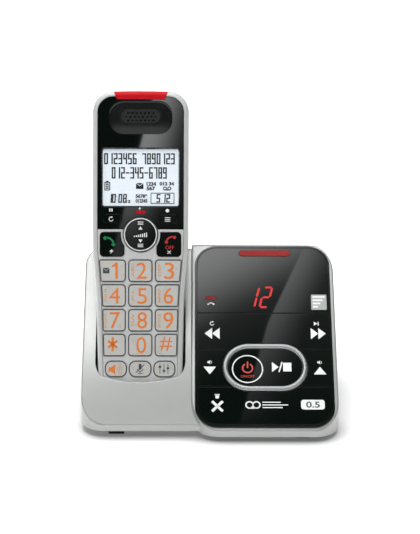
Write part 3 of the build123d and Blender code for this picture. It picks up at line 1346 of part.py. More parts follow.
def handset_key_membrane():
    front = PAD_BOARD_DEPTH - MEMBRANE_THICKNESS
    z_range = (FUNCTION_RANGE[0] - MEMBRANE_MARGIN, SOFT_KEY_RANGE[1] + FLANGE_MARGIN)
    body = plate(pad_board_face(z_range), front, PAD_BOARD_DEPTH)
    for x, z in stem_places().values():
        body -= barrel(x, z, 0, PAD_BOARD_DEPTH + OVERCUT, 2 * (STEM_RADIUS + STEM_CLEARANCE))
    for x, z in PAD_BOSSES:
        body -= barrel(x, z, 0, PAD_BOARD_DEPTH + OVERCUT, PAD_SHOULDER + 2 * JACK_FIT)
    body -= barrel(*MICROPHONE_PLACE, 0, PAD_BOARD_DEPTH + OVERCUT, MICROPHONE_DIAMETER + 2 * JACK_FIT)
    seat = NAV_BALL_DEPTH + NAV_BALL_RADIUS + PIVOT_CLEARANCE
    body += barrel(0, NAV_CENTRE, seat, PAD_BOARD_DEPTH, NAV_PAD_DIAMETER)
    return {"handset_key_membrane": single(body)}


def handset_charging_contacts():
    return {"handset_charging_contacts": Compound([single(shape) for shape in contact_plates()])}


# ---------------------------------------------------------------- assembly
BASE_PIECES = (base_upper_housing, base_lower_housing, cradle_well, control_panel_bezel, message_window,
               message_counter, panel_lights, play_key_ring, base_circuit_board, base_key_membrane,
               base_loudspeaker, line_jack, power_jack, base_feet, base_screws, panel_keys,
               charging_contacts)
HANDSET_PIECES = (handset_front_housing, handset_rear_housing, handset_keypad_bezel,
                  handset_display_bezel, handset_ringer_light, handset_display_window,
                  handset_display_module, charge_light, handset_circuit_board, handset_key_membrane,
                  earpiece_speaker, handset_loudspeaker, battery_pack, battery_door,
                  handset_charging_contacts, handset_screws, push_keys, navigation_key)


def origin_shift(pieces):
    """Move that puts the origin under the middle of the whole object, on the surface it stands on."""
    box = Compound(list(pieces.values())).bounding_box()
    return Pos(-box.center().X, -box.center().Y, -box.min.Z)


def build():
    """All pieces by name, in the part's own frame, and the move that brought them there."""
    pieces = {}
    for make in BASE_PIECES:
        pieces.update(make())
    for make in HANDSET_PIECES:
        pieces.update({name: HANDSET_PLACE * shape for name, shape in make().items()})
    shift = origin_shift(pieces)
    return {name: shift * shape for name, shape in pieces.items()}, shift


def main():
    os.makedirs("parts", exist_ok=True)
    pieces, shift = build()
    for name, shape in pieces.items():
        export_step(shape, "parts/" + name + ".step")
    print(len(pieces), "pieces, moved by", shift.position)


if __name__ == "__main__":
    main()
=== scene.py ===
import json
import math

import bmesh
import bpy
from mathutils import Matrix, Vector
from mathutils.geometry import tessellate_polygon


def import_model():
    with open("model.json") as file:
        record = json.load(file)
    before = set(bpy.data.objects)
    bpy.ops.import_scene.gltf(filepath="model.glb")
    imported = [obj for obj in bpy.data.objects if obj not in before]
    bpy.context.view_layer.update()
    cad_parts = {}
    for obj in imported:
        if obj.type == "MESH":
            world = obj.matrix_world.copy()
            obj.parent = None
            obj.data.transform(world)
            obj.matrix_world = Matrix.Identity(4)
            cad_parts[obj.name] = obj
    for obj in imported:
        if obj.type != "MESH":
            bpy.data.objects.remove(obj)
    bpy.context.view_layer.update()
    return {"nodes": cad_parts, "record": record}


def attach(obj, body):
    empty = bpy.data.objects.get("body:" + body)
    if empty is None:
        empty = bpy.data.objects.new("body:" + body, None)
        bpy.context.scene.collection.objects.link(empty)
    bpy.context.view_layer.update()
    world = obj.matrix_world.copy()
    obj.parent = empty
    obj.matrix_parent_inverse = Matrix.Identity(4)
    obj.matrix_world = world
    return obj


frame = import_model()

# Looks of the answering machine. Shapes and materials only: every size of the object is the CAD's.
# Numbers are millimetres in the two slanted frames below, and metres once they reach a mesh.

MM = 0.001
NODES = frame["nodes"]

# Viewpoint of the photo: target in millimetres, distance in metres, angles in degrees.
TARGET = (0.0, -3.62, 82.71)
DISTANCE = 1.0
ELEVATION = 22.0
YAW = -0.7
ROLL = 0.4
FOCAL_PIXELS = 1818.0
PICTURE_HEIGHT = 534

# Strength of the light shapes in the world, where 1 is white.
WORLD_DOME = 0.05
BOX_LIGHT = 4.2
BOX_FOOT = 0.45
FAR_BOX = 1.6
RIGHT_BOX = 3.0
WINDOW_LIGHT = 4.8
WINDOW_FOOT = 0.5
FRONT_GLOW = 0.9
# Shares of that strength that are left at the dim end of a shape.
FAR_SHARE = 0.5
DIM_SHARE = 0.08
BACK_SHARE = 0.15

# Straight edges of the light shapes: (x, y, z) to multiply the direction by, and a start. In these
# units the ramps below them each have a start and an end.
NEAR_EDGE = (-609, 1167, 0, 272.3)
BOX_RISE, BOX_FOOT_RISE, BOX_FALL = (60, 116), (20, 90), (125, 230)
UPPER_EDGE = (0, 1167, 0, 265.5)
RIGHT_RISE, FAR_RISE = (-10, 120), (122, 220)
SLANTED_EDGES = ((1015, -290, 0, -93.0), (1015, -480.8, 0, -125.3))
RIGHT_FALL, SEAM = (-8, 24), (-0.5, 0.5)
WINDOW_BOTTOM = (0, 0, 1106, -340.3)
WINDOW_RISE = (85, 150)
WINDOW_SIDE = (1004, 0, -278.7, 148.5)
WINDOW_START, WINDOW_FALL = (-0.6, 0.6), (2, 24)

# Lamps: place and aim in metres, width and height in metres, watts.
LAMPS = {
    "top_box": ((-0.16, 0.16, 0.62), (0.0, 0.0, 0.05), (0.35, 0.35), 1.8),
    "left_card": ((-0.80, -0.45, 1.0), (-0.05, 0.0, 0.08), (0.7, 0.9), 2.5),
    "front_card": ((0.08, -0.60, 1.30), (-0.02, 0.0, 0.08), (0.5, 0.5), 8.0),
}

# Floor, in metres. The contact shade is full at the first openness and gone at the second, and weakens
# between two places on y. The glow grows to white between two distances from the middle.
FLOOR_GREY = (0.72, 0.72, 0.72)
FLOOR_REACH = 4.0
SHADE_REACH = 0.016
SHADE_OPENNESS = (0.4, 0.96)
SHADE_DARKEST = 0.8
SHADE_BEHIND = 0.35
SHADE_FRONT_TO_BEHIND = (-0.055, -0.025)
GLOW_BESIDE = 0.42
GLOW_BESIDE_TO_FAR = (0.09, 0.22)


# ---------------------------------------------------------------- the two slanted frames
def slanted(origin, tilt):
    """Frame with x to the right, y up a face that rises at that tilt, and z out of the face."""
    turn = Matrix.Rotation(math.radians(tilt), 4, "X")
    return Matrix.Translation(Vector(origin) * MM) @ turn


PANEL = slanted((0.0, -52.4185, 7.0), 38.0)       # face of the base
PAD = slanted((-38.3, -30.4102, 13.6790), 68.0)   # face of the handset, y from its bottom end up

# Heights above these faces: where a surface is, and how far a print goes below and above it.
PANEL_TOP = 1.2
PLAY_TOP = 1.5
POWER_TOP = 1.8
KEY_TOP = 0.35
BEZEL_TOP = -0.15
NAV_DISH = 0.35
NAV_TOP = 0.6
MODULE_TOP = -2.15
PRINT_LOW = 0.02
PRINT_HIGH = 0.03
SEGMENT_HIGH = 0.12


# ---------------------------------------------------------------- materials
# Colours are linear, and sizes, depths and reliefs are in millimetres.
BLACK = (0.0, 0.0, 0.0)
GLOSS_BLACK = (0.001, 0.003, 0.002)
GLOSS_ROUGHNESS = 0.016
SATIN_BLACK = (0.013, 0.015, 0.014)
SATIN_ROUGHNESS = 0.42
SATIN_FROM, SATIN_FULL = 0.6, 0.8     # depths below the handset's face
LAMINATE_GREEN = (0.02, 0.16, 0.05)
LAMINATE_LIGHT = (0.025, 0.19, 0.06)
TRACK_GREEN = (0.10, 0.32, 0.10)
TRACK_SIZE = 6.0
TRACK_RELIEF = 0.02
MOTTLE_SIZE = 9.0
GLOSS_PER_MOTTLE = 4
INK_SIZE = 0.6
INK_TINT = (0.93, 1.04)
MIX_FACTOR, MIX_FIRST, MIX_SECOND, MIX_RESULT = 0, 6, 7, 2     # colour sockets of a Mix node


class Shader:
    """One material and the helpers that fill its node tree."""

    def __init__(self, name, base, roughness, metallic=0.0, **sockets):
        self.material = bpy.data.materials.new(name)
        self.material.use_nodes = True
        self.tree = self.material.node_tree
        self.bsdf = self.tree.nodes["Principled BSDF"]
        self.base = base
        self.bsdf.inputs["Base Color"].default_value = (*base, 1.0)
        self.bsdf.inputs["Roughness"].default_value = roughness
        self.bsdf.inputs["Metallic"].default_value = metallic
        self.roughness = roughness
        for key, value in sockets.items():
            self.bsdf.inputs[key.replace("_", " ")].default_value = value
        self.place = self.node("ShaderNodeTexCoord").outputs["Object"]
        self.normal = None

    def node(self, kind, **settings):
        made = self.tree.nodes.new(kind)
        for key, value in settings.items():
            setattr(made, key, value)
        return made

    def link(self, start, end):
        self.tree.links.new(start, end)

    def noise(self, size, detail=2.0):
        """Noise whose features are about size millimetres."""
        texture = self.node("ShaderNodeTexNoise")
        texture.inputs["Scale"].default_value = 1.0 / (size * MM)
        texture.inputs["Detail"].default_value = detail
        self.link(self.place, texture.inputs["Vector"])
        return texture.outputs["Fac"]

    def span(self, value, low, high, start=0.3, end=0.7):
        """Value remapped, from low at start to high at end."""
        ranged = self.node("ShaderNodeMapRange")
        for key, number in (("From Min", start), ("From Max", end), ("To Min", low), ("To Max", high)):
            ranged.inputs[key].default_value = number
        self.link(value, ranged.inputs["Value"])
        return ranged.outputs["Result"]

    def product(self, first, second):
        made = self.node("ShaderNodeMath", operation="MULTIPLY")
        self.link(first, made.inputs[0])
        self.link(second, made.inputs[1])
        return made.outputs[0]

    def base_between(self, share, first, second):
        """Base colour that goes from the first colour to the second as the share goes from 0 to 1."""
        mix = self.node("ShaderNodeMix", data_type="RGBA")
        mix.inputs[MIX_FIRST].default_value = (*first, 1.0)
        mix.inputs[MIX_SECOND].default_value = (*second, 1.0)
        self.link(share, mix.inputs[MIX_FACTOR])
        self.link(mix.outputs[MIX_RESULT], self.bsdf.inputs["Base Color"])

    def tint(self, value, darker, lighter):
        """Base colour that wanders between a darker and a lighter share of itself."""
        dark = [c * darker for c in self.base]
        light = [min(c * lighter, 1.0) for c in self.base]
        self.base_between(self.span(value, 0.0, 1.0), dark, light)

    def gloss(self, value, change):
        """Roughness that wanders by a small change."""
        rougher = self.span(value, self.roughness - change, self.roughness + change)
        self.link(rougher, self.bsdf.inputs["Roughness"])

    def soft_edges(self, radius):
        """Edges that catch the light as if they were rounded."""
        bevel = self.node("ShaderNodeBevel", samples=4)
        bevel.inputs["Radius"].default_value = radius * MM
        self.normal = bevel.outputs["Normal"]
        self.link(self.normal, self.bsdf.inputs["Normal"])

    def bump(self, value, height):
        """Fine relief of that height in millimetres."""
        relief = self.node("ShaderNodeBump")
        relief.inputs["Strength"].default_value = 1.0
        relief.inputs["Distance"].default_value = height * MM
        self.link(value, relief.inputs["Height"])
        if self.normal:
            self.link(self.normal, relief.inputs["Normal"])
        self.normal = relief.outputs["Normal"]
        self.link(self.normal, self.bsdf.inputs["Normal"])


def moulded(name, base, roughness, edge=0.3, grain=0.25, relief=0.003, metallic=0.0, mottle=0.03,
            **sockets):
    """Moulded or painted plastic, with soft edges and faint mottling, and a fine skin if it has relief.

    The edge, grain and relief are in millimetres.
    """
    shader = Shader(name, base, roughness, metallic, **sockets)
    shader.tint(shader.noise(MOTTLE_SIZE, 3.0), 1.0 - mottle, 1.0 + mottle)
    shader.gloss(shader.noise(grain * 4, 2.0), roughness * GLOSS_PER_MOTTLE * mottle)
    if edge:
        shader.soft_edges(edge)
    if relief:
        shader.bump(shader.noise(grain), relief)
    return shader.material


def bezel_gloss():
    """Black gloss of the display cover, satin and a little paler on the floor of the ear hollow."""
    shader = Shader("bezel_gloss", GLOSS_BLACK, GLOSS_ROUGHNESS)
    outwards = PAD.col[2].to_3d()
    face = outwards.dot(PAD.col[3].to_3d())
    height = shader.node("ShaderNodeVectorMath", operation="DOT_PRODUCT")
    height.inputs[1].default_value = outwards
    shader.link(shader.place, height.inputs[0])
    low = shader.span(height.outputs["Value"], 1.0, 0.0, face - SATIN_FULL * MM, face - SATIN_FROM * MM)
    rougher = shader.span(low, GLOSS_ROUGHNESS, SATIN_ROUGHNESS, 0.0, 1.0)
    shader.link(rougher, shader.bsdf.inputs["Roughness"])
    shader.base_between(low, GLOSS_BLACK, SATIN_BLACK)
    shader.soft_edges(0.3)
    shader.bump(shader.noise(3.0), 0.0001)
    return shader.material


def printed(name, colour, roughness=0.45, glow=0.0):
    """Ink or lacquer, with slightly uneven cover, and lit from behind where it glows."""
    shader = Shader(name, colour, roughness)
    shader.tint(shader.noise(INK_SIZE), *INK_TINT)
    if glow:
        shader.bsdf.inputs["Emission Color"].default_value = (*colour, 1.0)
        shader.bsdf.inputs["Emission Strength"].default_value = glow
    return shader.material


def circuit_laminate():
    """Green laminate with lighter copper tracks under the lacquer."""
    shader = Shader("circuit_laminate", LAMINATE_GREEN, 0.35)
    bricks = shader.node("ShaderNodeTexBrick")
    bricks.inputs["Scale"].default_value = 1.0 / (TRACK_SIZE * MM)
    bricks.inputs["Mortar Size"].default_value = 0.06
    for socket, colour in (("Color1", LAMINATE_GREEN), ("Color2", LAMINATE_LIGHT),
                           ("Mortar", TRACK_GREEN)):
        bricks.inputs[socket].default_value = (*colour, 1.0)
    shader.link(shader.place, bricks.inputs["Vector"])
    shader.link(bricks.outputs["Color"], shader.bsdf.inputs["Base Color"])
    shader.bump(bricks.outputs["Fac"], TRACK_RELIEF)
    return shader.material


# Material of each slot: name, colour and roughness, and where they differ from the usual plastic also
# edge, grain, relief, metal share and mottling.
MATERIALS = {
    "silver_shell": moulded("silver_paint", (0.448, 0.462, 0.450), 0.22, 0.45, 1.5, 0.0, 0.55, 0.008),
    "keypad_silver": moulded("keypad_paint", (0.61, 0.62, 0.61), 0.36, 0.25, 1.5, 0.0, 0.15, 0.01),
    "grey_cover": moulded("grey_cover", (0.13, 0.14, 0.15), 0.5, 0.4, 0.4, 0.01),
    "dark_plastic": moulded("well_plastic", (0.035, 0.037, 0.036), 0.5, 0.4, 0.4, 0.01),
    "black_gloss": moulded("black_gloss", GLOSS_BLACK, GLOSS_ROUGHNESS, 0.3, 3.0, 0.0001),
    "smoked_window": moulded("smoked_window", (0.002, 0.004, 0.003), 0.014, 0.3, 4.0, 0.0001),
    "red_lens": moulded("red_lens", (0.50, 0.006, 0.012), 0.25, 0.3, 2.0, 0.0005,
                        Specular_IOR_Level=0.2),
    "silver_ring": moulded("silver_ring", (0.42, 0.44, 0.44), 0.28, 0.5, 3.0, 0.0002, 0.85),
    "counter_case": moulded("counter_case", (0.01, 0.01, 0.01), 0.4),
    "circuit_board": circuit_laminate(),
    "silicone_rubber": moulded("silicone_rubber", (0.5, 0.5, 0.48), 0.55, 0.2, 0.3, 0.004),
    "foot_rubber": moulded("foot_rubber", (0.015, 0.015, 0.015), 0.7, 0.5, 0.5, 0.02),
    "loudspeaker": moulded("speaker_frame", (0.06, 0.06, 0.06), 0.45, 0.3, 0.5, 0.01, 0.6),
    "jack_plastic": moulded("jack_plastic", (0.012, 0.012, 0.012), 0.3, 0.25, 0.5, 0.004),
    "screw_steel": moulded("screw_steel", (0.6, 0.6, 0.6), 0.3, 0.1, 0.2, 0.004, 1.0),
    "contact_metal": moulded("contact_metal", (0.75, 0.72, 0.62), 0.22, 0.2, 0.2, 0.003, 1.0),
    "grey_key": moulded("grey_key", (0.53, 0.525, 0.50), 0.3, 0.25, 1.2, 0.0008,
                        Subsurface_Weight=0.2, Subsurface_Scale=0.001, Coat_Weight=0.3),
    "clear_window": moulded("clear_window", (0.02, 0.03, 0.03), 0.03, 0.0, 2.0, 0.0001, Alpha=0.05),
    "display_module": moulded("display_module", (0.56, 0.61, 0.66), 0.4, 0.0, 0.3, 0.001),
    "battery_sleeve": moulded("battery_sleeve", (0.03, 0.12, 0.35), 0.3, 0.3, 2.0, 0.01),
}
backlight = MATERIALS["display_module"].node_tree.nodes["Principled BSDF"].inputs
backlight["Emission Color"].default_value = (0.86, 0.93, 1.0, 1.0)
backlight["Emission Strength"].default_value = 0.5

WHITE = printed("white_print", (0.78, 0.80, 0.79))
PALE = printed("pale_label", (0.36, 0.38, 0.37))
DARK = printed("dark_print", (0.03, 0.033, 0.035))
# Dark grey: painted shade of the grooves along the keys' rims, and the grey print of the small signs on
# the keys.
GROOVE_SHADE_AND_GREY_PRINT = printed("key_rim_shade_and_grey_print", (0.045, 0.055, 0.06), 0.5)
ORANGE = printed("orange_print", (0.75, 0.205, 0.032))
SOFT_ORANGE = printed("soft_orange_print", (0.62, 0.32, 0.16))
GREEN = printed("green_print", (0.01, 0.22, 0.07))
RED = printed("red_print", (0.50, 0.03, 0.03))
SEGMENT = printed("display_segment", (0.008, 0.009, 0.010), 0.5)
LIT_RED = printed("lit_red", (0.50, 0.010, 0.012), 0.5, 0.3)
# Lighter, less metallic copy of the base's silver for the handset's shell: painted light, since the
# handset's face gets less light than the base.
LIGHTENED_HANDSET_SILVER = moulded("handset_paint_lightened", (0.60, 0.612, 0.60), 0.32, 0.45, 1.5, 0.0, 0.2, 0.01)
DIM_RED = moulded("dim_red_lens", (0.26, 0.010, 0.010), 0.3, 0.3, 2.0, 0.0006, Specular_IOR_Level=0.2)
EAR_HOLLOW = moulded("ear_hollow", (0.004, 0.005, 0.005), 0.24, 0.2, 2.0, 0.0)
LIT_SYMBOL = printed("lit_symbol", (0.45, 0.04, 0.03), 0.4, 0.2)

for row in frame["record"]["subparts"]:
    node = NODES[row["node"]]
    node.data.materials.clear()
    node.data.materials.append(MATERIALS[row["material_slot"]])
# Nodes whose finish differs from the others of their slot. The handset's shell takes a lighter, less
# metallic copy of the base's silver: painted light that makes up for the weaker light on the handset.
for material, names in (
        (DIM_RED, ("base_ringer_light", "in_use_light")),
        (LIGHTENED_HANDSET_SILVER, ("handset_front_housing", "handset_rear_housing", "battery_door")),
        (bezel_gloss(), ("handset_display_bezel",))):
    for name in names:
        NODES[name].data.materials[0] = material


# ---------------------------------------------------------------- flat shapes, as loops of points
LEAST_MITRE = 0.3     # keeps the point of a sharp bend short


def box(x0, x1, y0, y1):
    return [[(x0, y0), (x1, y0), (x1, y1), (x0, y1)]]


def arc(x, y, radius, start, end, steps):
    """Points on an arc, angles in degrees."""
    turns = [math.radians(start + (end - start) * i / steps) for i in range(steps + 1)]
    return [(x + radius * math.cos(a), y + radius * math.sin(a)) for a in turns]


def round_box(x0, x1, y0, y1, radius):
    corners = ((x1 - radius, y0 + radius, -90), (x1 - radius, y1 - radius, 0),
               (x0 + radius, y1 - radius, 90), (x0 + radius, y0 + radius, 180))
    return [[point for x, y, start in corners for point in arc(x, y, radius, start, start + 90, 6)]]


def level_bar(x0, x1, y, thick):
    """Level bar whose middle is at that height."""
    return box(x0, x1, y - thick / 2, y + thick / 2)


def disc(x, y, radius, steps=48):
    return [arc(x, y, radius, 0, 360, steps)[:-1]]


def ring(x, y, outer, inner, steps=72):
    return disc(x, y, outer, steps) + disc(x, y, inner, steps)


def band(points, width):
    """Line of that width through points, with square ends and mitred bends."""
    sides = ([], [])
    last = len(points) - 1
    for i, (x, y) in enumerate(points):
        before = points[max(i - 1, 0)]
        after = points[min(i + 1, last)]
        first = Vector((x - before[0], y - before[1])) if i else None
        second = Vector((after[0] - x, after[1] - y)) if i < last else None
        first = (first or second).normalized()
        second = (second or first).normalized()
        along = (first + second).normalized()
        reach = width / 2 / max(along.dot(first), LEAST_MITRE)
        sides[0].append((x - along.y * reach, y + along.x * reach))
        sides[1].append((x + along.y * reach, y - along.x * reach))
    return [sides[0] + sides[1][::-1]]


def arc_band(x, y, radius, start, end, width):
    return band(arc(x, y, radius, start, end, 20), width)


def triangle(x, y, width, height, way):
    """Triangle whose box is centred there and whose tip points up, down, left or right."""
    w, h = width / 2, height / 2
    corners = {"up": ((-w, -h), (w, -h), (0, h)), "down": ((-w, h), (0, -h), (w, h)),
               "left": ((w, -h), (w, h), (-w, 0)), "right": ((-w, -h), (w, 0), (-w, h))}
    return [[(x + dx, y + dy) for dx, dy in corners[way]]]


# ---------------------------------------------------------------- pieces
def new_piece(name, mesh, body):
    piece = bpy.data.objects.new(name, mesh)
    bpy.context.scene.collection.objects.link(piece)
    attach(piece, body)


class Prints:
    """Thin printed or inlaid shapes on one flat face, gathered into one piece."""

    def __init__(self, name, body, place, height, high=PRINT_HIGH):
        self.name = name
        self.body = body
        self.place = place
        self.low = height - PRINT_LOW
        self.high = height + high
        self.mesh = bmesh.new()
        self.materials = []

    def index(self, material):
        if material not in self.materials:
            self.materials.append(material)
        return self.materials.index(material)

    def add(self, loops, material):
        """Shape from an outer loop and the loops of its holes."""
        index = self.index(material)
        flat = [Vector((x, y, 0.0)) for loop in loops for x, y in loop]
        top = [self.mesh.verts.new((p.x, p.y, self.high)) for p in flat]
        foot = [self.mesh.verts.new((p.x, p.y, self.low)) for p in flat]
        faces = []
        for a, b, c in tessellate_polygon([[Vector((x, y, 0.0)) for x, y in loop] for loop in loops]):
            turn = (flat[b] - flat[a]).cross(flat[c] - flat[a]).z
            faces.append((a, b, c) if turn > 0 else (a, c, b))
        for a, b, c in faces:
            self.mesh.faces.new((top[a], top[b], top[c])).material_index = index
            self.mesh.faces.new((foot[c], foot[b], foot[a])).material_index = index
        start = 0
        for loop in loops:
            count = len(loop)
            for i in range(count):
                a, b = start + i, start + (i + 1) % count
                self.mesh.faces.new((foot[a], foot[b], top[b], top[a])).material_index = index
            start += count
        return self

    def text(self, words, x0, x1, y0, y1, material, turned=False, bold=0.0):
        """Characters stretched to fill a box, read upwards if turned, with strokes swollen by bold."""
        curve = bpy.data.curves.new("letters", "FONT")
        curve.body = words
        curve.extrude = 0.1
        curve.offset = bold
        curve.resolution_u = 6
        holder = bpy.data.objects.new("letters", curve)
        letters = bpy.data.meshes.new_from_object(holder)
        bpy.data.objects.remove(holder)
        bpy.data.curves.remove(curve)
        if turned:
            letters.transform(Matrix.Rotation(math.pi / 2, 4, "Z"))
        points = [v.co for v in letters.vertices]
        lows = [min(p[axis] for p in points) for axis in range(3)]
        highs = [max(p[axis] for p in points) for axis in range(3)]
        goals = ((x0, x1), (y0, y1), (self.low, self.high))
        for p in points:
            for axis, (low, high) in enumerate(goals):
                share = (p[axis] - lows[axis]) / (highs[axis] - lows[axis])
                p[axis] = low + (high - low) * share
        before = len(self.mesh.faces)
        self.mesh.from_mesh(letters)
        self.mesh.faces.ensure_lookup_table()
        for face in self.mesh.faces[before:]:
            face.material_index = self.index(material)
        bpy.data.meshes.remove(letters)
        return self

    def finish(self):
        """Piece made of all the shapes so far."""
        bmesh.ops.recalc_face_normals(self.mesh, faces=self.mesh.faces)
        mesh = bpy.data.meshes.new(self.name)
        self.mesh.to_mesh(mesh)
        self.mesh.free()
        mesh.transform(self.place @ Matrix.Scale(MM, 4))
        for material in self.materials:
            mesh.materials.append(material)
        new_piece(self.name, mesh, self.body)


# ---------------------------------------------------------------- base: symbols on the panel
def loop_arrow(prints, x, y, radius, width, material):
    """Turned arrow, open at its upper right."""
    prints.add(arc_band(x, y, radius, 70, 340, width), material)
    head = triangle(x + radius * 0.55, y + radius * 0.94, radius * 0.9, radius * 1.1, "right")
    prints.add(head, material)


def small_speaker(prints, x, y, size, material):
    """Loudspeaker sign with one wave."""
    outline = ((-1.0, -0.35), (-0.45, -0.35), (0.15, -0.9), (0.15, 0.9), (-0.45, 0.35), (-1.0, 0.35))
    prints.add([[(x + size * dx, y + size * dy) for dx, dy in outline]], material)
    prints.add(arc_band(x, y, size * 0.75, -50, 50, size * 0.22), material)


def bin_sign(prints, x, y, size, material):
    """Waste bin with its lid."""
    outline = ((-0.62, -1.0), (0.62, -1.0), (0.78, 0.4), (-0.78, 0.4))
    prints.add([[(x + size * dx, y + size * dy) for dx, dy in outline]], material)
    prints.add(box(x - size, x + size, y + size * 0.58, y + size * 0.88), material)


def cross(prints, x0, x1, y0, y1, width, material):
    """Two strokes between opposite corners."""
    for start, end in (((x0, y0), (x1, y1)), ((x0, y1), (x1, y0))):
        prints.add(band((start, end), width), material)


def tape_sign(prints, x, y, radius, gap, width, material):
    """Two reels on one line."""
    for side in (-1, 1):
        prints.add(ring(x + side * gap, y, radius, radius - width, 40), material)
    prints.add(box(x - gap, x + gap, y - radius, y - radius + width), material)


def receiver_sign(prints, x, y, size, turn, material):
    """Telephone receiver: a bow with a pad at each end."""
    bow = arc_band(0, -size * 0.9, size * 1.25, 42, 138, size * 0.34)[0]
    pads = [round_box(side * size * 0.95 - size * 0.3, side * size * 0.95 + size * 0.3,
                      -size * 0.42, size * 0.16, size * 0.12)[0] for side in (-1, 1)]
    spin = Matrix.Rotation(math.radians(turn), 2)
    for loop in [bow] + pads:
        moved = [spin @ Vector(point) for point in loop]
        prints.add([[(x + p.x, y + p.y) for p in moved]], material)


SEGMENTS = {"0": "abcdef", "1": "bc", "2": "abged", "3": "abgcd", "4": "fgbc", "5": "afgcd",
            "6": "afgedc", "7": "abc", "8": "abcdefg", "9": "abcdfg", "-": "g"}


def segment_digit(prints, sign, x, y, width, height, thick, slant, material, mitred=True):
    """Seven-segment figure in a box, leaning by slant millimetres over its height."""
    t = thick / 2
    mid, low, high = height / 2, t, height - t
    lines = {"a": ((t, high), (width - t, high)), "b": ((width - t, mid), (width - t, high)),
             "c": ((width - t, low), (width - t, mid)), "d": ((t, low), (width - t, low)),
             "e": ((t, low), (t, mid)), "f": ((t, mid), (t, high)), "g": ((t, mid), (width - t, mid))}
    gap = thick * 0.12 if mitred else -t
    tip = t if mitred else 0.0
    for name in SEGMENTS[sign]:
        (ax, ay), (bx, by) = lines[name]
        if ay == by:
            shape = [(ax + gap + tip, ay + t), (bx - gap - tip, ay + t), (bx - gap, ay),
                     (bx - gap - tip, ay - t), (ax + gap + tip, ay - t), (ax + gap, ay)]
        else:
            shape = [(ax + t, ay + gap + tip), (ax + t, by - gap - tip), (ax, by - gap),
                     (ax - t, by - gap - tip), (ax - t, ay + gap + tip), (ax, ay + gap)]
        prints.add([[(x + px + slant * py / height, y + py) for px, py in shape]], material)


# Rows up the panel, and the sizes of what stands on them.
SKIP_ROW, SKIP_SIGN_ROW, SKIP_ARROW = 58.8, 65.1, (4.17, 7.07)
VOLUME_ROW, VOLUME_SIGN_ROW, SPEAKER_SIZE = 35.8, 40.85, 1.35
COUNTER_ROW, COUNTER_HEIGHT = 74.9, 13.9
COUNTER_STROKE, COUNTER_SLANT = 1.25, 3.3
LABEL_BAR_PITCH = 2.1


def panel_prints():
    """Signs on the keys of the base, and the counter, receiver and bare label of its message window."""
    repeat = Prints("repeat_skip_symbols", "repeat_skip_key", PANEL, PANEL_TOP)
    for x, way in ((-0.67, "left"), (3.5, "left"), (58.4, "right"), (62.57, "right")):
        repeat.add(triangle(x, SKIP_ROW, *SKIP_ARROW, way), WHITE)
    loop_arrow(repeat, 1.4, SKIP_SIGN_ROW, 1.05, 0.42, WHITE)
    repeat.add(triangle(59.2, SKIP_SIGN_ROW, 2.0, 2.5, "right"), WHITE)
    repeat.add(box(60.4, 60.9, 63.9, 66.3), WHITE)
    repeat.finish()

    for name, x, width, way in (("volume_down", 0.0, 6.9, "down"), ("volume_up", 60.7, 7.0, "up")):
        volume = Prints(name + "_symbols", name + "_key", PANEL, PANEL_TOP)
        volume.add(triangle(x, VOLUME_ROW, width, 4.7, way), WHITE)
        small_speaker(volume, x, VOLUME_SIGN_ROW, SPEAKER_SIZE, WHITE)
        volume.finish()

    delete = Prints("delete_slow_symbols", "delete_slow_key", PANEL, PANEL_TOP)
    cross(delete, 1.2, 7.0, 11.0, 17.0, 1.45, WHITE)
    bin_sign(delete, 4.0, 20.1, 1.4, WHITE)
    tape_sign(delete, 23.46, 14.83, 2.3, 1.9, 0.75, WHITE)
    for y, end in ((16.45, 38.6), (14.85, 42.6), (13.25, 39.6)):
        delete.add(level_bar(28.6, end, y, 0.6), WHITE)
    delete.add(round_box(49.67, 62.57, 12.13, 17.94, 1.5), WHITE)
    delete.finish()
    badge = Prints("speed_badge", "delete_slow_key", PANEL, PANEL_TOP + PRINT_HIGH)
    badge.text("0.5", 52.4, 59.9, 13.2, 16.9, DARK, bold=0.02).finish()

    play = Prints("play_stop_symbols", "play_stop_key", PANEL, PLAY_TOP)
    play.add(triangle(36.1, 37.8, 3.7, 6.1, "right"), WHITE)
    play.add(band(((38.1, 34.7), (39.9, 40.9)), 0.75), WHITE)
    play.add(box(40.4, 44.95, 35.1, 40.45), WHITE)
    play.finish()

    power = Prints("answer_on_off_symbols", "answer_on_off_key", PANEL, POWER_TOP)
    power.add(ring(20.75, 36.4, 8.6, 7.95), WHITE)
    power.add(arc_band(20.8, 36.95, 2.75, 118, 422, 0.85), LIT_SYMBOL)
    power.add(box(20.38, 21.22, 37.0, 41.0), LIT_SYMBOL)
    power.text("ON/OFF", 17.0, 24.5, 31.1, 32.7, LIT_SYMBOL)
    power.finish()

    window = Prints("message_window_symbols", "base", PANEL, PANEL_TOP)
    for sign, x, width in (("1", 20.4, 5.2), ("2", 27.3, 5.6)):
        segment_digit(window, sign, x, COUNTER_ROW, width, COUNTER_HEIGHT,
                      COUNTER_STROKE, COUNTER_SLANT, LIT_RED)
    receiver_sign(window, 0.8, 77.6, 1.6, 0, WHITE)
    window.add(round_box(57.1, 65.8, 73.9, 83.6, 0.5), PALE)
    window.finish()
    label = Prints("grade_label_bars", "base", PANEL, PANEL_TOP + PRINT_HIGH)
    for i, end in enumerate((64.9, 63.6, 62.3, 61.0)):
        label.add(box(58.0, end, 81.6 - LABEL_BAR_PITCH * i, 82.7 - LABEL_BAR_PITCH * i), WHITE)
    label.finish()


# ---------------------------------------------------------------- handset: symbols and outlines
FLAT = 0.01                      # a face this near to a height lies on it
RIM_SHADE_EDGES = (0.02, 0.42)     # how far inside a key's rim its painted shade of the groove starts and ends
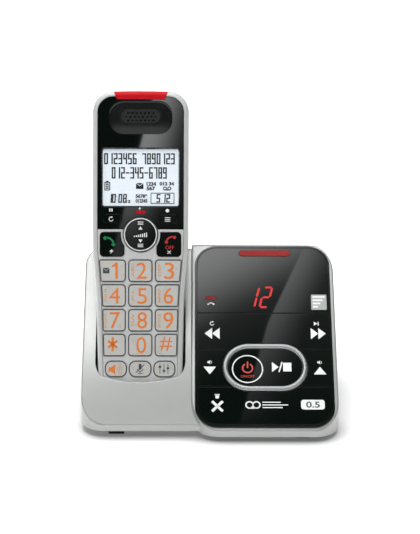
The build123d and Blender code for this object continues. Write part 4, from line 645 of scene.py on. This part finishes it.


def face_outline(node, place, height):
    """Outer loop of the flat face that a node has at that height of a slanted frame."""
    back = (place @ Matrix.Scale(MM, 4)).inverted()
    mesh = NODES[node].data
    points = [back @ v.co for v in mesh.vertices]
    keys = [(round(p.x, 3), round(p.y, 3)) for p in points]
    edges = {}
    for face in mesh.polygons:
        if all(abs(points[v].z - height) < FLAT for v in face.vertices):
            around = [keys[v] for v in face.vertices]
            edges.update(dict.fromkeys(zip(around, around[1:] + around[:1])))
    follow = {a: b for (a, b) in edges if (b, a) not in edges}
    start = next(iter(follow))
    loop = [start]
    while follow[loop[-1]] != start:
        loop.append(follow[loop[-1]])
    return loop


def shrunk(loop, amount):
    """Loop moved inwards, counter-clockwise or clockwise alike."""
    area = sum(a[0] * b[1] - b[0] * a[1] for a, b in zip(loop, loop[1:] + loop[:1]))
    way = 1 if area > 0 else -1
    moved = []
    for i, point in enumerate(loop):
        before, here, after = Vector(loop[i - 1]), Vector(point), Vector(loop[(i + 1) % len(loop)])
        along = ((here - before).normalized() + (after - here).normalized()).normalized()
        reach = amount / max(along.dot((after - here).normalized()), LEAST_MITRE)
        moved.append((here.x - along.y * reach * way, here.y + along.x * reach * way))
    return moved


def thinned(loop, least=0.05):
    """Loop without points that almost coincide."""
    kept = [loop[0]]
    for point in loop[1:]:
        if math.dist(point, kept[-1]) > least:
            kept.append(point)
    return kept if math.dist(kept[0], kept[-1]) > least else kept[:-1]


# Dark ring just inside a key's rim: painted shade of the groove around the key.
def key_rim_shade_and_grey_print(prints, node):
    loop = thinned(face_outline(node, PAD, KEY_TOP))
    prints.add([shrunk(loop, amount) for amount in RIM_SHADE_EDGES], GROOVE_SHADE_AND_GREY_PRINT)


# Figure of each number key and letter group beside it, with the box that each fills: x0, x1, y0, y1.
FIGURES = {
    "key_1": ("1", -15.8, -12.4, 67.4, 76.5), "key_2": ("2", -2.1, 3.5, 67.5, 76.4),
    "key_3": ("3", 13.2, 18.6, 67.4, 76.4), "key_4": ("4", -17.0, -11.2, 53.8, 62.6),
    "key_5": ("5", -1.6, 3.7, 53.6, 62.3), "key_6": ("6", 12.9, 18.1, 53.7, 62.6),
    "key_7": ("7", -16.8, -11.1, 40.1, 49.1), "key_8": ("8", -1.6, 3.7, 40.1, 49.1),
    "key_9": ("9", 12.7, 18.2, 40.0, 49.1), "key_0": ("0", -2.1, 3.2, 26.5, 35.4),
    "key_star": ("*", -17.9, -12.4, 27.6, 35.3), "key_pound": ("#", 10.8, 17.4, 27.9, 35.5),
}
LETTERS = {
    "key_2": ("ABC", -5.0, -3.5, 68.9, 75.8), "key_3": ("DEF", 9.8, 11.3, 68.9, 75.8),
    "key_4": ("GHI", -19.8, -18.3, 55.3, 61.8), "key_5": ("JKL", -4.9, -3.4, 54.9, 61.8),
    "key_6": ("MNO", 9.7, 11.2, 54.5, 61.9), "key_7": ("PQRS", -19.8, -18.3, 40.5, 48.2),
    "key_8": ("TUV", -4.9, -3.4, 41.0, 48.2), "key_9": ("WXYZ", 9.7, 11.2, 40.2, 48.2),
}


def star(prints, x, y, reach_x, reach_y, width, material):
    """Three strokes that cross in one point."""
    for turn in (90, 30, 150):
        dx, dy = math.cos(math.radians(turn)) * reach_x, math.sin(math.radians(turn)) * reach_y
        prints.add(band(((x - dx, y - dy), (x + dx, y + dy)), width), material)


def figure_one(prints, x0, x1, y0, y1, material):
    """Plain 1: a stem with a sloping flag."""
    prints.add([[(x1 - 1.35, y0), (x1, y0), (x1, y1), (x1 - 1.1, y1), (x1 - 1.9, y1 - 1.1),
                 (x0, y1 - 1.7), (x0, y1 - 2.7), (x1 - 1.35, y1 - 2.3)]], material)


def keypad_prints():
    """Painted shade of the grooves along the keys' rims, and figures and signs of the number keys and
    the three keys below them.
    """
    for node, (sign, *area) in FIGURES.items():
        prints = Prints(node + "_figure", node, PAD, KEY_TOP)
        key_rim_shade_and_grey_print(prints, node)
        if sign == "*":
            x0, x1, y0, y1 = area
            star(prints, (x0 + x1) / 2, (y0 + y1) / 2, 2.9, 3.8, 1.25, ORANGE)
        elif sign == "1":
            figure_one(prints, *area, ORANGE)
        else:
            prints.text(sign, *area, ORANGE)
        if node in LETTERS:
            prints.text(*LETTERS[node], SOFT_ORANGE, turned=True, bold=0.02)
        if node == "key_1":
            prints.add(box(-20.6, -17.0, 70.4, 73.5), GROOVE_SHADE_AND_GREY_PRINT)
        prints.finish()
    flap = Prints("key_1_envelope_flap", "key_1", PAD, KEY_TOP + PRINT_HIGH)
    flap.add(band(((-20.3, 73.2), (-18.8, 71.9), (-17.3, 73.2)), 0.3), PALE).finish()

    speaker = Prints("speaker_key_symbols", "speaker_key", PAD, KEY_TOP)
    key_rim_shade_and_grey_print(speaker, "speaker_key")
    speaker.add([[(-17.3, 16.4), (-15.9, 16.4), (-13.7, 14.7), (-13.7, 20.4), (-15.9, 18.7),
                  (-17.3, 18.7)]], ORANGE)
    for radius in (1.6, 2.7, 3.8):
        speaker.add(arc_band(-13.9, 17.55, radius, -48, 48, 0.45), SOFT_ORANGE)
    speaker.finish()

    mute = Prints("mute_key_symbols", "mute_key", PAD, KEY_TOP)
    key_rim_shade_and_grey_print(mute, "mute_key")
    mute.add(round_box(-0.8, 0.8, 17.5, 20.7, 0.75), GROOVE_SHADE_AND_GREY_PRINT)
    mute.add(arc_band(0, 18.2, 1.6, 190, 350, 0.4), GROOVE_SHADE_AND_GREY_PRINT)
    mute.add(box(-0.2, 0.2, 15.6, 16.7), GROOVE_SHADE_AND_GREY_PRINT)
    mute.add(box(-1.2, 1.2, 15.2, 15.6), GROOVE_SHADE_AND_GREY_PRINT)
    mute.add(band(((-2.3, 15.9), (2.3, 20.3)), 0.45), GROOVE_SHADE_AND_GREY_PRINT)
    mute.finish()

    assist = Prints("audio_assist_key_symbols", "audio_assist_key", PAD, KEY_TOP)
    key_rim_shade_and_grey_print(assist, "audio_assist_key")
    for x, y in ((10.9, 19.0), (13.1, 16.9), (15.3, 18.3)):
        assist.add(box(x - 0.2, x + 0.2, 15.3, 20.5), GROOVE_SHADE_AND_GREY_PRINT)
        assist.add(round_box(x - 0.75, x + 0.75, y - 0.5, y + 0.5, 0.25), GROOVE_SHADE_AND_GREY_PRINT)
    assist.finish()


def call_key_prints():
    """Receivers on the talk and off keys, with a flash and a cross."""
    talk = Prints("talk_key_symbols", "talk_key", PAD, KEY_TOP)
    receiver_sign(talk, -16.9, 88.4, 3.0, -38, GREEN)
    talk.add([[(-15.4, 83.9), (-17.2, 82.4), (-16.1, 82.4), (-16.6, 81.1), (-14.7, 82.9),
               (-15.8, 82.9)]], WHITE)
    talk.finish()
    off = Prints("off_key_symbols", "off_key", PAD, KEY_TOP)
    receiver_sign(off, 16.3, 89.3, 2.7, 30, RED)
    off.text("OFF", 13.7, 18.5, 83.7, 85.7, RED)
    cross(off, 14.9, 16.7, 81.3, 82.9, 0.4, WHITE)
    off.finish()


def navigation_prints():
    """White ring, arrows, two lists and a ladder of bars on the round key."""
    rim = Prints("navigation_key_ring", "navigation_key", PAD, NAV_TOP)
    rim.add(ring(0, 91.8, 9.1, 8.55), WHITE).finish()
    signs = Prints("navigation_key_symbols", "navigation_key", PAD, NAV_DISH)
    signs.add(triangle(0, 95.45, 2.3, 1.8, "up"), WHITE)
    signs.add(triangle(0, 88.25, 2.3, 1.8, "down"), WHITE)
    for y in (97.4, 98.1, 98.8):
        signs.add(level_bar(-1.5, 1.5, y, 0.36), WHITE)
    for i in range(7):
        x = -3.3 + 1.1 * i
        signs.add(box(x - 0.3, x + 0.3, 90.4, 91.1 + 0.3 * i), WHITE)
    for y in (85.1, 85.8, 86.5):
        signs.add(level_bar(-1.5, 1.5, y, 0.36), WHITE)
    signs.finish()


def bezel_prints():
    """Small signs between the display and the keys, and on the two keys beside them."""
    marks = Prints("display_bezel_symbols", "handset", PAD, BEZEL_TOP)
    for x in (-16.9, -15.7):
        marks.add(box(x - 0.35, x + 0.35, 104.4, 106.1), WHITE)
    marks.add(disc(14.8, 105.0, 0.95), WHITE)
    marks.add([[(-0.1, 107.2), (-1.2, 105.9), (-0.5, 105.9), (-0.9, 105.1), (0.4, 106.3),
                (-0.3, 106.3)]], WHITE)
    marks.finish()
    redial = Prints("redial_key_symbols", "redial_key", PAD, KEY_TOP)
    loop_arrow(redial, -16.2, 100.3, 1.1, 0.4, WHITE)
    redial.finish()
    menu = Prints("menu_key_symbols", "menu_key", PAD, KEY_TOP)
    for y in (99.2, 100.15, 101.1):
        menu.add(level_bar(13.4, 16.4, y, 0.4), WHITE)
    menu.finish()


# Square figures of the display: left edges and signs, foot, width and height, stroke and slant.
LINE_STROKE, SMALL_STROKE, SMALL_SLANT = 0.74, 0.7, 0.3
NUMBER_LINES = (
    ([(-20.2 + 2.63 * i, sign) for i, sign in enumerate("0123456 7890123") if sign != " "],
     130.6, (2.15, 6.1), LINE_STROKE, 0.0),
    ([(-16.0 + 2.57 * i, sign) for i, sign in enumerate("012-345-6789")],
     122.7, (2.1, 6.3), LINE_STROKE, 0.0),
    (((-18.0, "1"), (-15.9, "0"), (-12.4, "0"), (-9.9, "8")),
     109.3, (2.05, 4.9), SMALL_STROKE, SMALL_SLANT),
)
DATE_LINE = (((8.6, "5"), (11.6, "1"), (14.0, "2")), 109.5, (2.05, 4.7), SMALL_STROKE, SMALL_SLANT)
# Small figures of the display, each with its box: x0, x1, y0, y1.
DISPLAY_WORDS = (
    ("1234", 3.2, 8.5, 118.7, 120.9), ("567", 3.2, 8.0, 116.2, 118.4),
    ("012 34", 10.4, 18.4, 118.9, 120.9), ("56789", -2.8, 3.7, 112.0, 114.1),
    ("012345", -2.8, 3.7, 109.4, 111.5), ("12", -8.2, -5.6, 109.3, 110.9),
)


def square_figures(prints, places, y, size, stroke, slant):
    for x, sign in places:
        segment_digit(prints, sign, x, y, *size, stroke, slant, SEGMENT, mitred=False)


def display_prints():
    """Segments of the lit display: figures, clock, battery, envelope and tape signs."""
    shown = Prints("display_segments", "handset", PAD, MODULE_TOP, high=SEGMENT_HIGH)
    for line in NUMBER_LINES:
        square_figures(shown, *line)
    for y in (110.9, 112.6):
        shown.add(level_bar(-13.2, -12.75, y, 0.5), SEGMENT)
    shown.add(round_box(-20.0, -16.8, 116.1, 120.8, 0.4) + box(-19.5, -17.3, 116.6, 120.3), SEGMENT)
    shown.add(box(-19.1, -17.7, 120.8, 121.4), SEGMENT)
    for y in (117.0, 118.1, 119.2):
        shown.add(box(-19.2, -17.6, y, y + 0.7), SEGMENT)
    shown.add([[(-2.6, 117.0), (1.5, 117.0), (1.5, 120.1), (-0.55, 118.5), (-2.6, 120.1)]], SEGMENT)
    shown.add([[(-2.2, 120.25), (-0.55, 118.95), (1.1, 120.25)]], SEGMENT)
    tape_sign(shown, 14.6, 117.3, 1.1, 1.2, 0.55, SEGMENT)
    for words, *area in DISPLAY_WORDS:
        shown.text(words, *area, SEGMENT, bold=0.05)
    shown.add(box(5.5, 18.6, 108.8, 114.9) + box(5.9, 18.2, 109.2, 114.5), SEGMENT)
    square_figures(shown, *DATE_LINE)
    shown.finish()


# Ear hollow: its rim and its floor, as x0, x1, y0, y1 and corner radius, and its slopes in millimetres.
DISH_RIM = (-17.2, 17.2, 147.3, 165.3, 7.4)
DISH_FLOOR = (-10.7, 10.7, 153.4, 160.9, 3.7)
DISH_STEPS = (0.0, 0.03, 0.08, 0.2, 0.35, 0.5, 0.65, 0.8, 0.9, 1.0)
GENTLE_DROP = 0.98
SUDDEN_DROP, SUDDEN_SHARE = 0.75, 0.08     # the upper side drops this far in this share of its width,
SLOW_DROP = 0.23                           # and this much more down to the floor
STEEP_FROM, STEEP_OVER = 156.0, 6.0        # the sides turn from gentle to steep here


def ear_dish():
    """Hollow around the ear grille: steep under its upper edge, a gentle slope at its lower one."""
    outer, inner = round_box(*DISH_RIM)[0], round_box(*DISH_FLOOR)[0]
    mesh = bmesh.new()
    rows = []
    for share in DISH_STEPS:
        row = []
        for (ax, ay), (bx, by) in zip(outer, inner):
            steep = min(max((ay - STEEP_FROM) / STEEP_OVER, 0.0), 1.0)
            sudden = SUDDEN_DROP * min(share / SUDDEN_SHARE, 1.0) + SLOW_DROP * share
            gentle = GENTLE_DROP * math.sin(share * math.pi / 2)
            drop = steep * sudden + (1.0 - steep) * gentle
            x, y = ax + (bx - ax) * share, ay + (by - ay) * share
            row.append(mesh.verts.new((x, y, BEZEL_TOP - drop)))
        rows.append(row)
    for wide, narrow in zip(rows, rows[1:]):
        for i in range(len(wide)):
            j = (i + 1) % len(wide)
            mesh.faces.new((wide[i], wide[j], narrow[j], narrow[i])).smooth = True
    hollow = bpy.data.meshes.new("ear_dish")
    mesh.to_mesh(hollow)
    mesh.free()
    hollow.transform(PAD @ Matrix.Scale(MM, 4))
    hollow.materials.append(EAR_HOLLOW)
    new_piece("ear_dish", hollow, "handset")


panel_prints()
keypad_prints()
call_key_prints()
navigation_prints()
bezel_prints()
display_prints()
ear_dish()


# ---------------------------------------------------------------- floor, light and camera
def light_path(tree, outputs):
    """1 for any of the named kinds of ray."""
    path = tree.nodes.new("ShaderNodeLightPath")
    value = path.outputs[outputs[0]]
    for name in outputs[1:]:
        larger = tree.nodes.new("ShaderNodeMath")
        larger.operation = "MAXIMUM"
        tree.links.new(value, larger.inputs[0])
        tree.links.new(path.outputs[name], larger.inputs[1])
        value = larger.outputs[0]
    return value


def floor():
    """Pale paper that glows to plain white further out, with a soft contact shade at the object.

    The shade is ambient occlusion, weaker behind the object's front edge than before it.
    """
    mesh = bpy.data.meshes.new("floor")
    corners = [(x * FLOOR_REACH, y * FLOOR_REACH, 0) for x, y in ((-1, -1), (1, -1), (1, 1), (-1, 1))]
    mesh.from_pydata(corners, [], [(0, 1, 2, 3)])
    piece = bpy.data.objects.new("floor", mesh)
    bpy.context.scene.collection.objects.link(piece)

    shader = Shader("floor_paper", FLOOR_GREY, 0.9)
    openness = shader.node("ShaderNodeAmbientOcclusion", samples=12)
    openness.inputs["Distance"].default_value = SHADE_REACH
    split = shader.node("ShaderNodeSeparateXYZ")
    shader.link(shader.place, split.inputs["Vector"])
    closed = shader.span(openness.outputs["AO"], SHADE_DARKEST, 0.0, *SHADE_OPENNESS)
    behind = shader.span(split.outputs["Y"], 1.0, SHADE_BEHIND, *SHADE_FRONT_TO_BEHIND)
    unshaded = shader.span(shader.product(closed, behind), 1.0, 0.0, 0.0, 1.0)
    shader.base_between(unshaded, BLACK, FLOOR_GREY)

    distance = shader.node("ShaderNodeVectorMath", operation="LENGTH")
    shader.link(shader.place, distance.inputs[0])
    glow = shader.span(distance.outputs["Value"], GLOW_BESIDE, 1.0, *GLOW_BESIDE_TO_FAR)
    seen = light_path(shader.tree, ("Is Camera Ray", "Is Glossy Ray", "Is Transmission Ray"))
    glow = shader.product(shader.product(glow, seen), unshaded)
    shader.bsdf.inputs["Emission Color"].default_value = (1.0, 1.0, 1.0, 1.0)
    shader.link(glow, shader.bsdf.inputs["Emission Strength"])
    mesh.materials.append(shader.material)


class Studio:
    """Node helpers for light that depends on the direction it comes from."""

    def __init__(self, tree):
        self.tree = tree
        self.way = tree.nodes.new("ShaderNodeTexCoord").outputs["Generated"]

    def slope(self, x, y, z, rest=0.0):
        """Value that grows evenly along a direction."""
        product = self.tree.nodes.new("ShaderNodeVectorMath")
        product.operation = "DOT_PRODUCT"
        product.inputs[1].default_value = (x, y, z)
        self.tree.links.new(self.way, product.inputs[0])
        return self.join("ADD", product.outputs["Value"], rest)

    def join(self, operation, first, second):
        """Two values, sockets or plain floats, joined by a Math node."""
        made = self.tree.nodes.new("ShaderNodeMath")
        made.operation = operation
        for socket, value in zip(made.inputs, (first, second)):
            if isinstance(value, float):
                socket.default_value = value
            else:
                self.tree.links.new(value, socket)
        return made.outputs[0]

    def ramp(self, value, start, end, low, high):
        """Soft step from low at start to high at end."""
        made = self.tree.nodes.new("ShaderNodeMapRange")
        made.interpolation_type = "SMOOTHSTEP"
        for key, number in (("From Min", start), ("From Max", end), ("To Min", low), ("To Max", high)):
            made.inputs[key].default_value = number
        self.tree.links.new(value, made.inputs["Value"])
        return made.outputs["Result"]

    def rise(self, value, start, end):
        return self.ramp(value, start, end, 0.0, 1.0)

    def fall(self, value, start, end):
        return self.ramp(value, start, end, 1.0, 0.0)

    def product(self, *values):
        result = values[0]
        for value in values[1:]:
            result = self.join("MULTIPLY", result, value)
        return result

    def total(self, *values):
        result = values[0]
        for value in values[1:]:
            result = self.join("ADD", result, value)
        return result


def overhead_box(studio, side, depth, height):
    """Soft box above the object, in two halves that meet in a slanted edge."""
    near = studio.slope(*NEAR_EDGE)
    up = studio.slope(*UPPER_EDGE)
    across = studio.join("MINIMUM", *(studio.slope(*edge) for edge in SLANTED_EDGES))
    left = studio.total(studio.ramp(near, *BOX_RISE, 0.0, BOX_LIGHT),
                        studio.ramp(near, *BOX_FOOT_RISE, 0.0, BOX_FOOT))
    left = studio.product(left, studio.ramp(near, *BOX_FALL, 1.0, FAR_SHARE))
    right = studio.product(studio.ramp(up, *RIGHT_RISE, 0.0, RIGHT_BOX),
                           studio.ramp(across, *RIGHT_FALL, 1.0, DIM_SHARE))
    halves = studio.total(studio.product(left, studio.fall(across, *SEAM)),
                          studio.product(right, studio.rise(across, *SEAM)))
    whole = studio.join("MAXIMUM", halves, studio.ramp(up, *FAR_RISE, 0.0, FAR_BOX))
    return studio.product(whole, studio.fall(side, 0.3, 0.5), studio.rise(side, -0.5, -0.3),
                          studio.fall(depth, 0.3, 0.5), studio.rise(depth, -0.33, -0.23),
                          studio.rise(height, 0.5, 0.7))


def world():
    """Studio: a soft box overhead, a window behind the camera, a glow above it and a pale back."""
    made = bpy.data.worlds.new("studio")
    bpy.context.scene.world = made
    made.use_nodes = True
    tree = made.node_tree
    background = tree.nodes["Background"]
    studio = Studio(tree)
    side, depth, height = studio.slope(1, 0, 0), studio.slope(0, 1, 0), studio.slope(0, 0, 1)

    above, beside = studio.slope(*WINDOW_BOTTOM), studio.slope(*WINDOW_SIDE)
    window = studio.product(studio.ramp(above, *WINDOW_RISE, WINDOW_FOOT, WINDOW_LIGHT),
                            studio.rise(beside, *WINDOW_START),
                            studio.ramp(beside, *WINDOW_FALL, 1.0, DIM_SHARE),
                            studio.fall(height, 0.47, 0.51), studio.fall(depth, -0.7, -0.5),
                            studio.fall(side, 0.05, 0.1))
    front = studio.product(studio.ramp(height, 0.55, 0.7, 0.0, FRONT_GLOW),
                           studio.fall(depth, -0.4, -0.3))
    back = studio.product(studio.fall(height, 0.02, 0.35),
                          studio.ramp(depth, -0.5, -0.1, BACK_SHARE, 1.0))
    light = studio.total(overhead_box(studio, side, depth, height), window, back, front, WORLD_DOME)

    mix = tree.nodes.new("ShaderNodeMix")
    mix.data_type = "RGBA"
    mix.inputs[MIX_SECOND].default_value = (1.0, 1.0, 1.0, 1.0)
    seen = light_path(tree, ("Is Camera Ray", "Is Transmission Ray"))
    tree.links.new(seen, mix.inputs[MIX_FACTOR])
    tree.links.new(light, mix.inputs[MIX_FIRST])
    tree.links.new(mix.outputs[MIX_RESULT], background.inputs["Color"])
    background.inputs["Strength"].default_value = 1.0


def area_lamp(name, place, aim, size, power):
    """White soft light that gloss doesn't mirror."""
    lamp = bpy.data.lights.new(name, "AREA")
    lamp.shape = "RECTANGLE"
    lamp.size, lamp.size_y = size
    lamp.energy = power
    holder = bpy.data.objects.new(name, lamp)
    bpy.context.scene.collection.objects.link(holder)
    holder.location = place
    holder.rotation_euler = (Vector(aim) - Vector(place)).to_track_quat("-Z", "Y").to_euler()
    holder.visible_glossy = False


def camera():
    """Camera at the photo's viewpoint."""
    made = bpy.data.cameras.new("camera")
    holder = bpy.data.objects.new("camera", made)
    bpy.context.scene.collection.objects.link(holder)
    bpy.context.scene.camera = holder
    made.sensor_width = 36.0
    made.lens = FOCAL_PIXELS / PICTURE_HEIGHT * made.sensor_width
    target = Vector(TARGET) * MM
    turn = Matrix.Rotation(math.radians(YAW), 3, "Z")
    back = turn @ Vector((0.0, -math.cos(math.radians(ELEVATION)), math.sin(math.radians(ELEVATION))))
    holder.location = target + back * DISTANCE
    look = (-back).to_track_quat("-Z", "Y").to_matrix()
    holder.rotation_euler = (look @ Matrix.Rotation(math.radians(ROLL), 3, "Z")).to_euler()
    made.clip_start, made.clip_end = 0.05, 20.0


floor()
world()
camera()
for lamp_name, lamp_settings in LAMPS.items():
    area_lamp(lamp_name, *lamp_settings)

bpy.context.scene.view_settings.view_transform = "Standard"
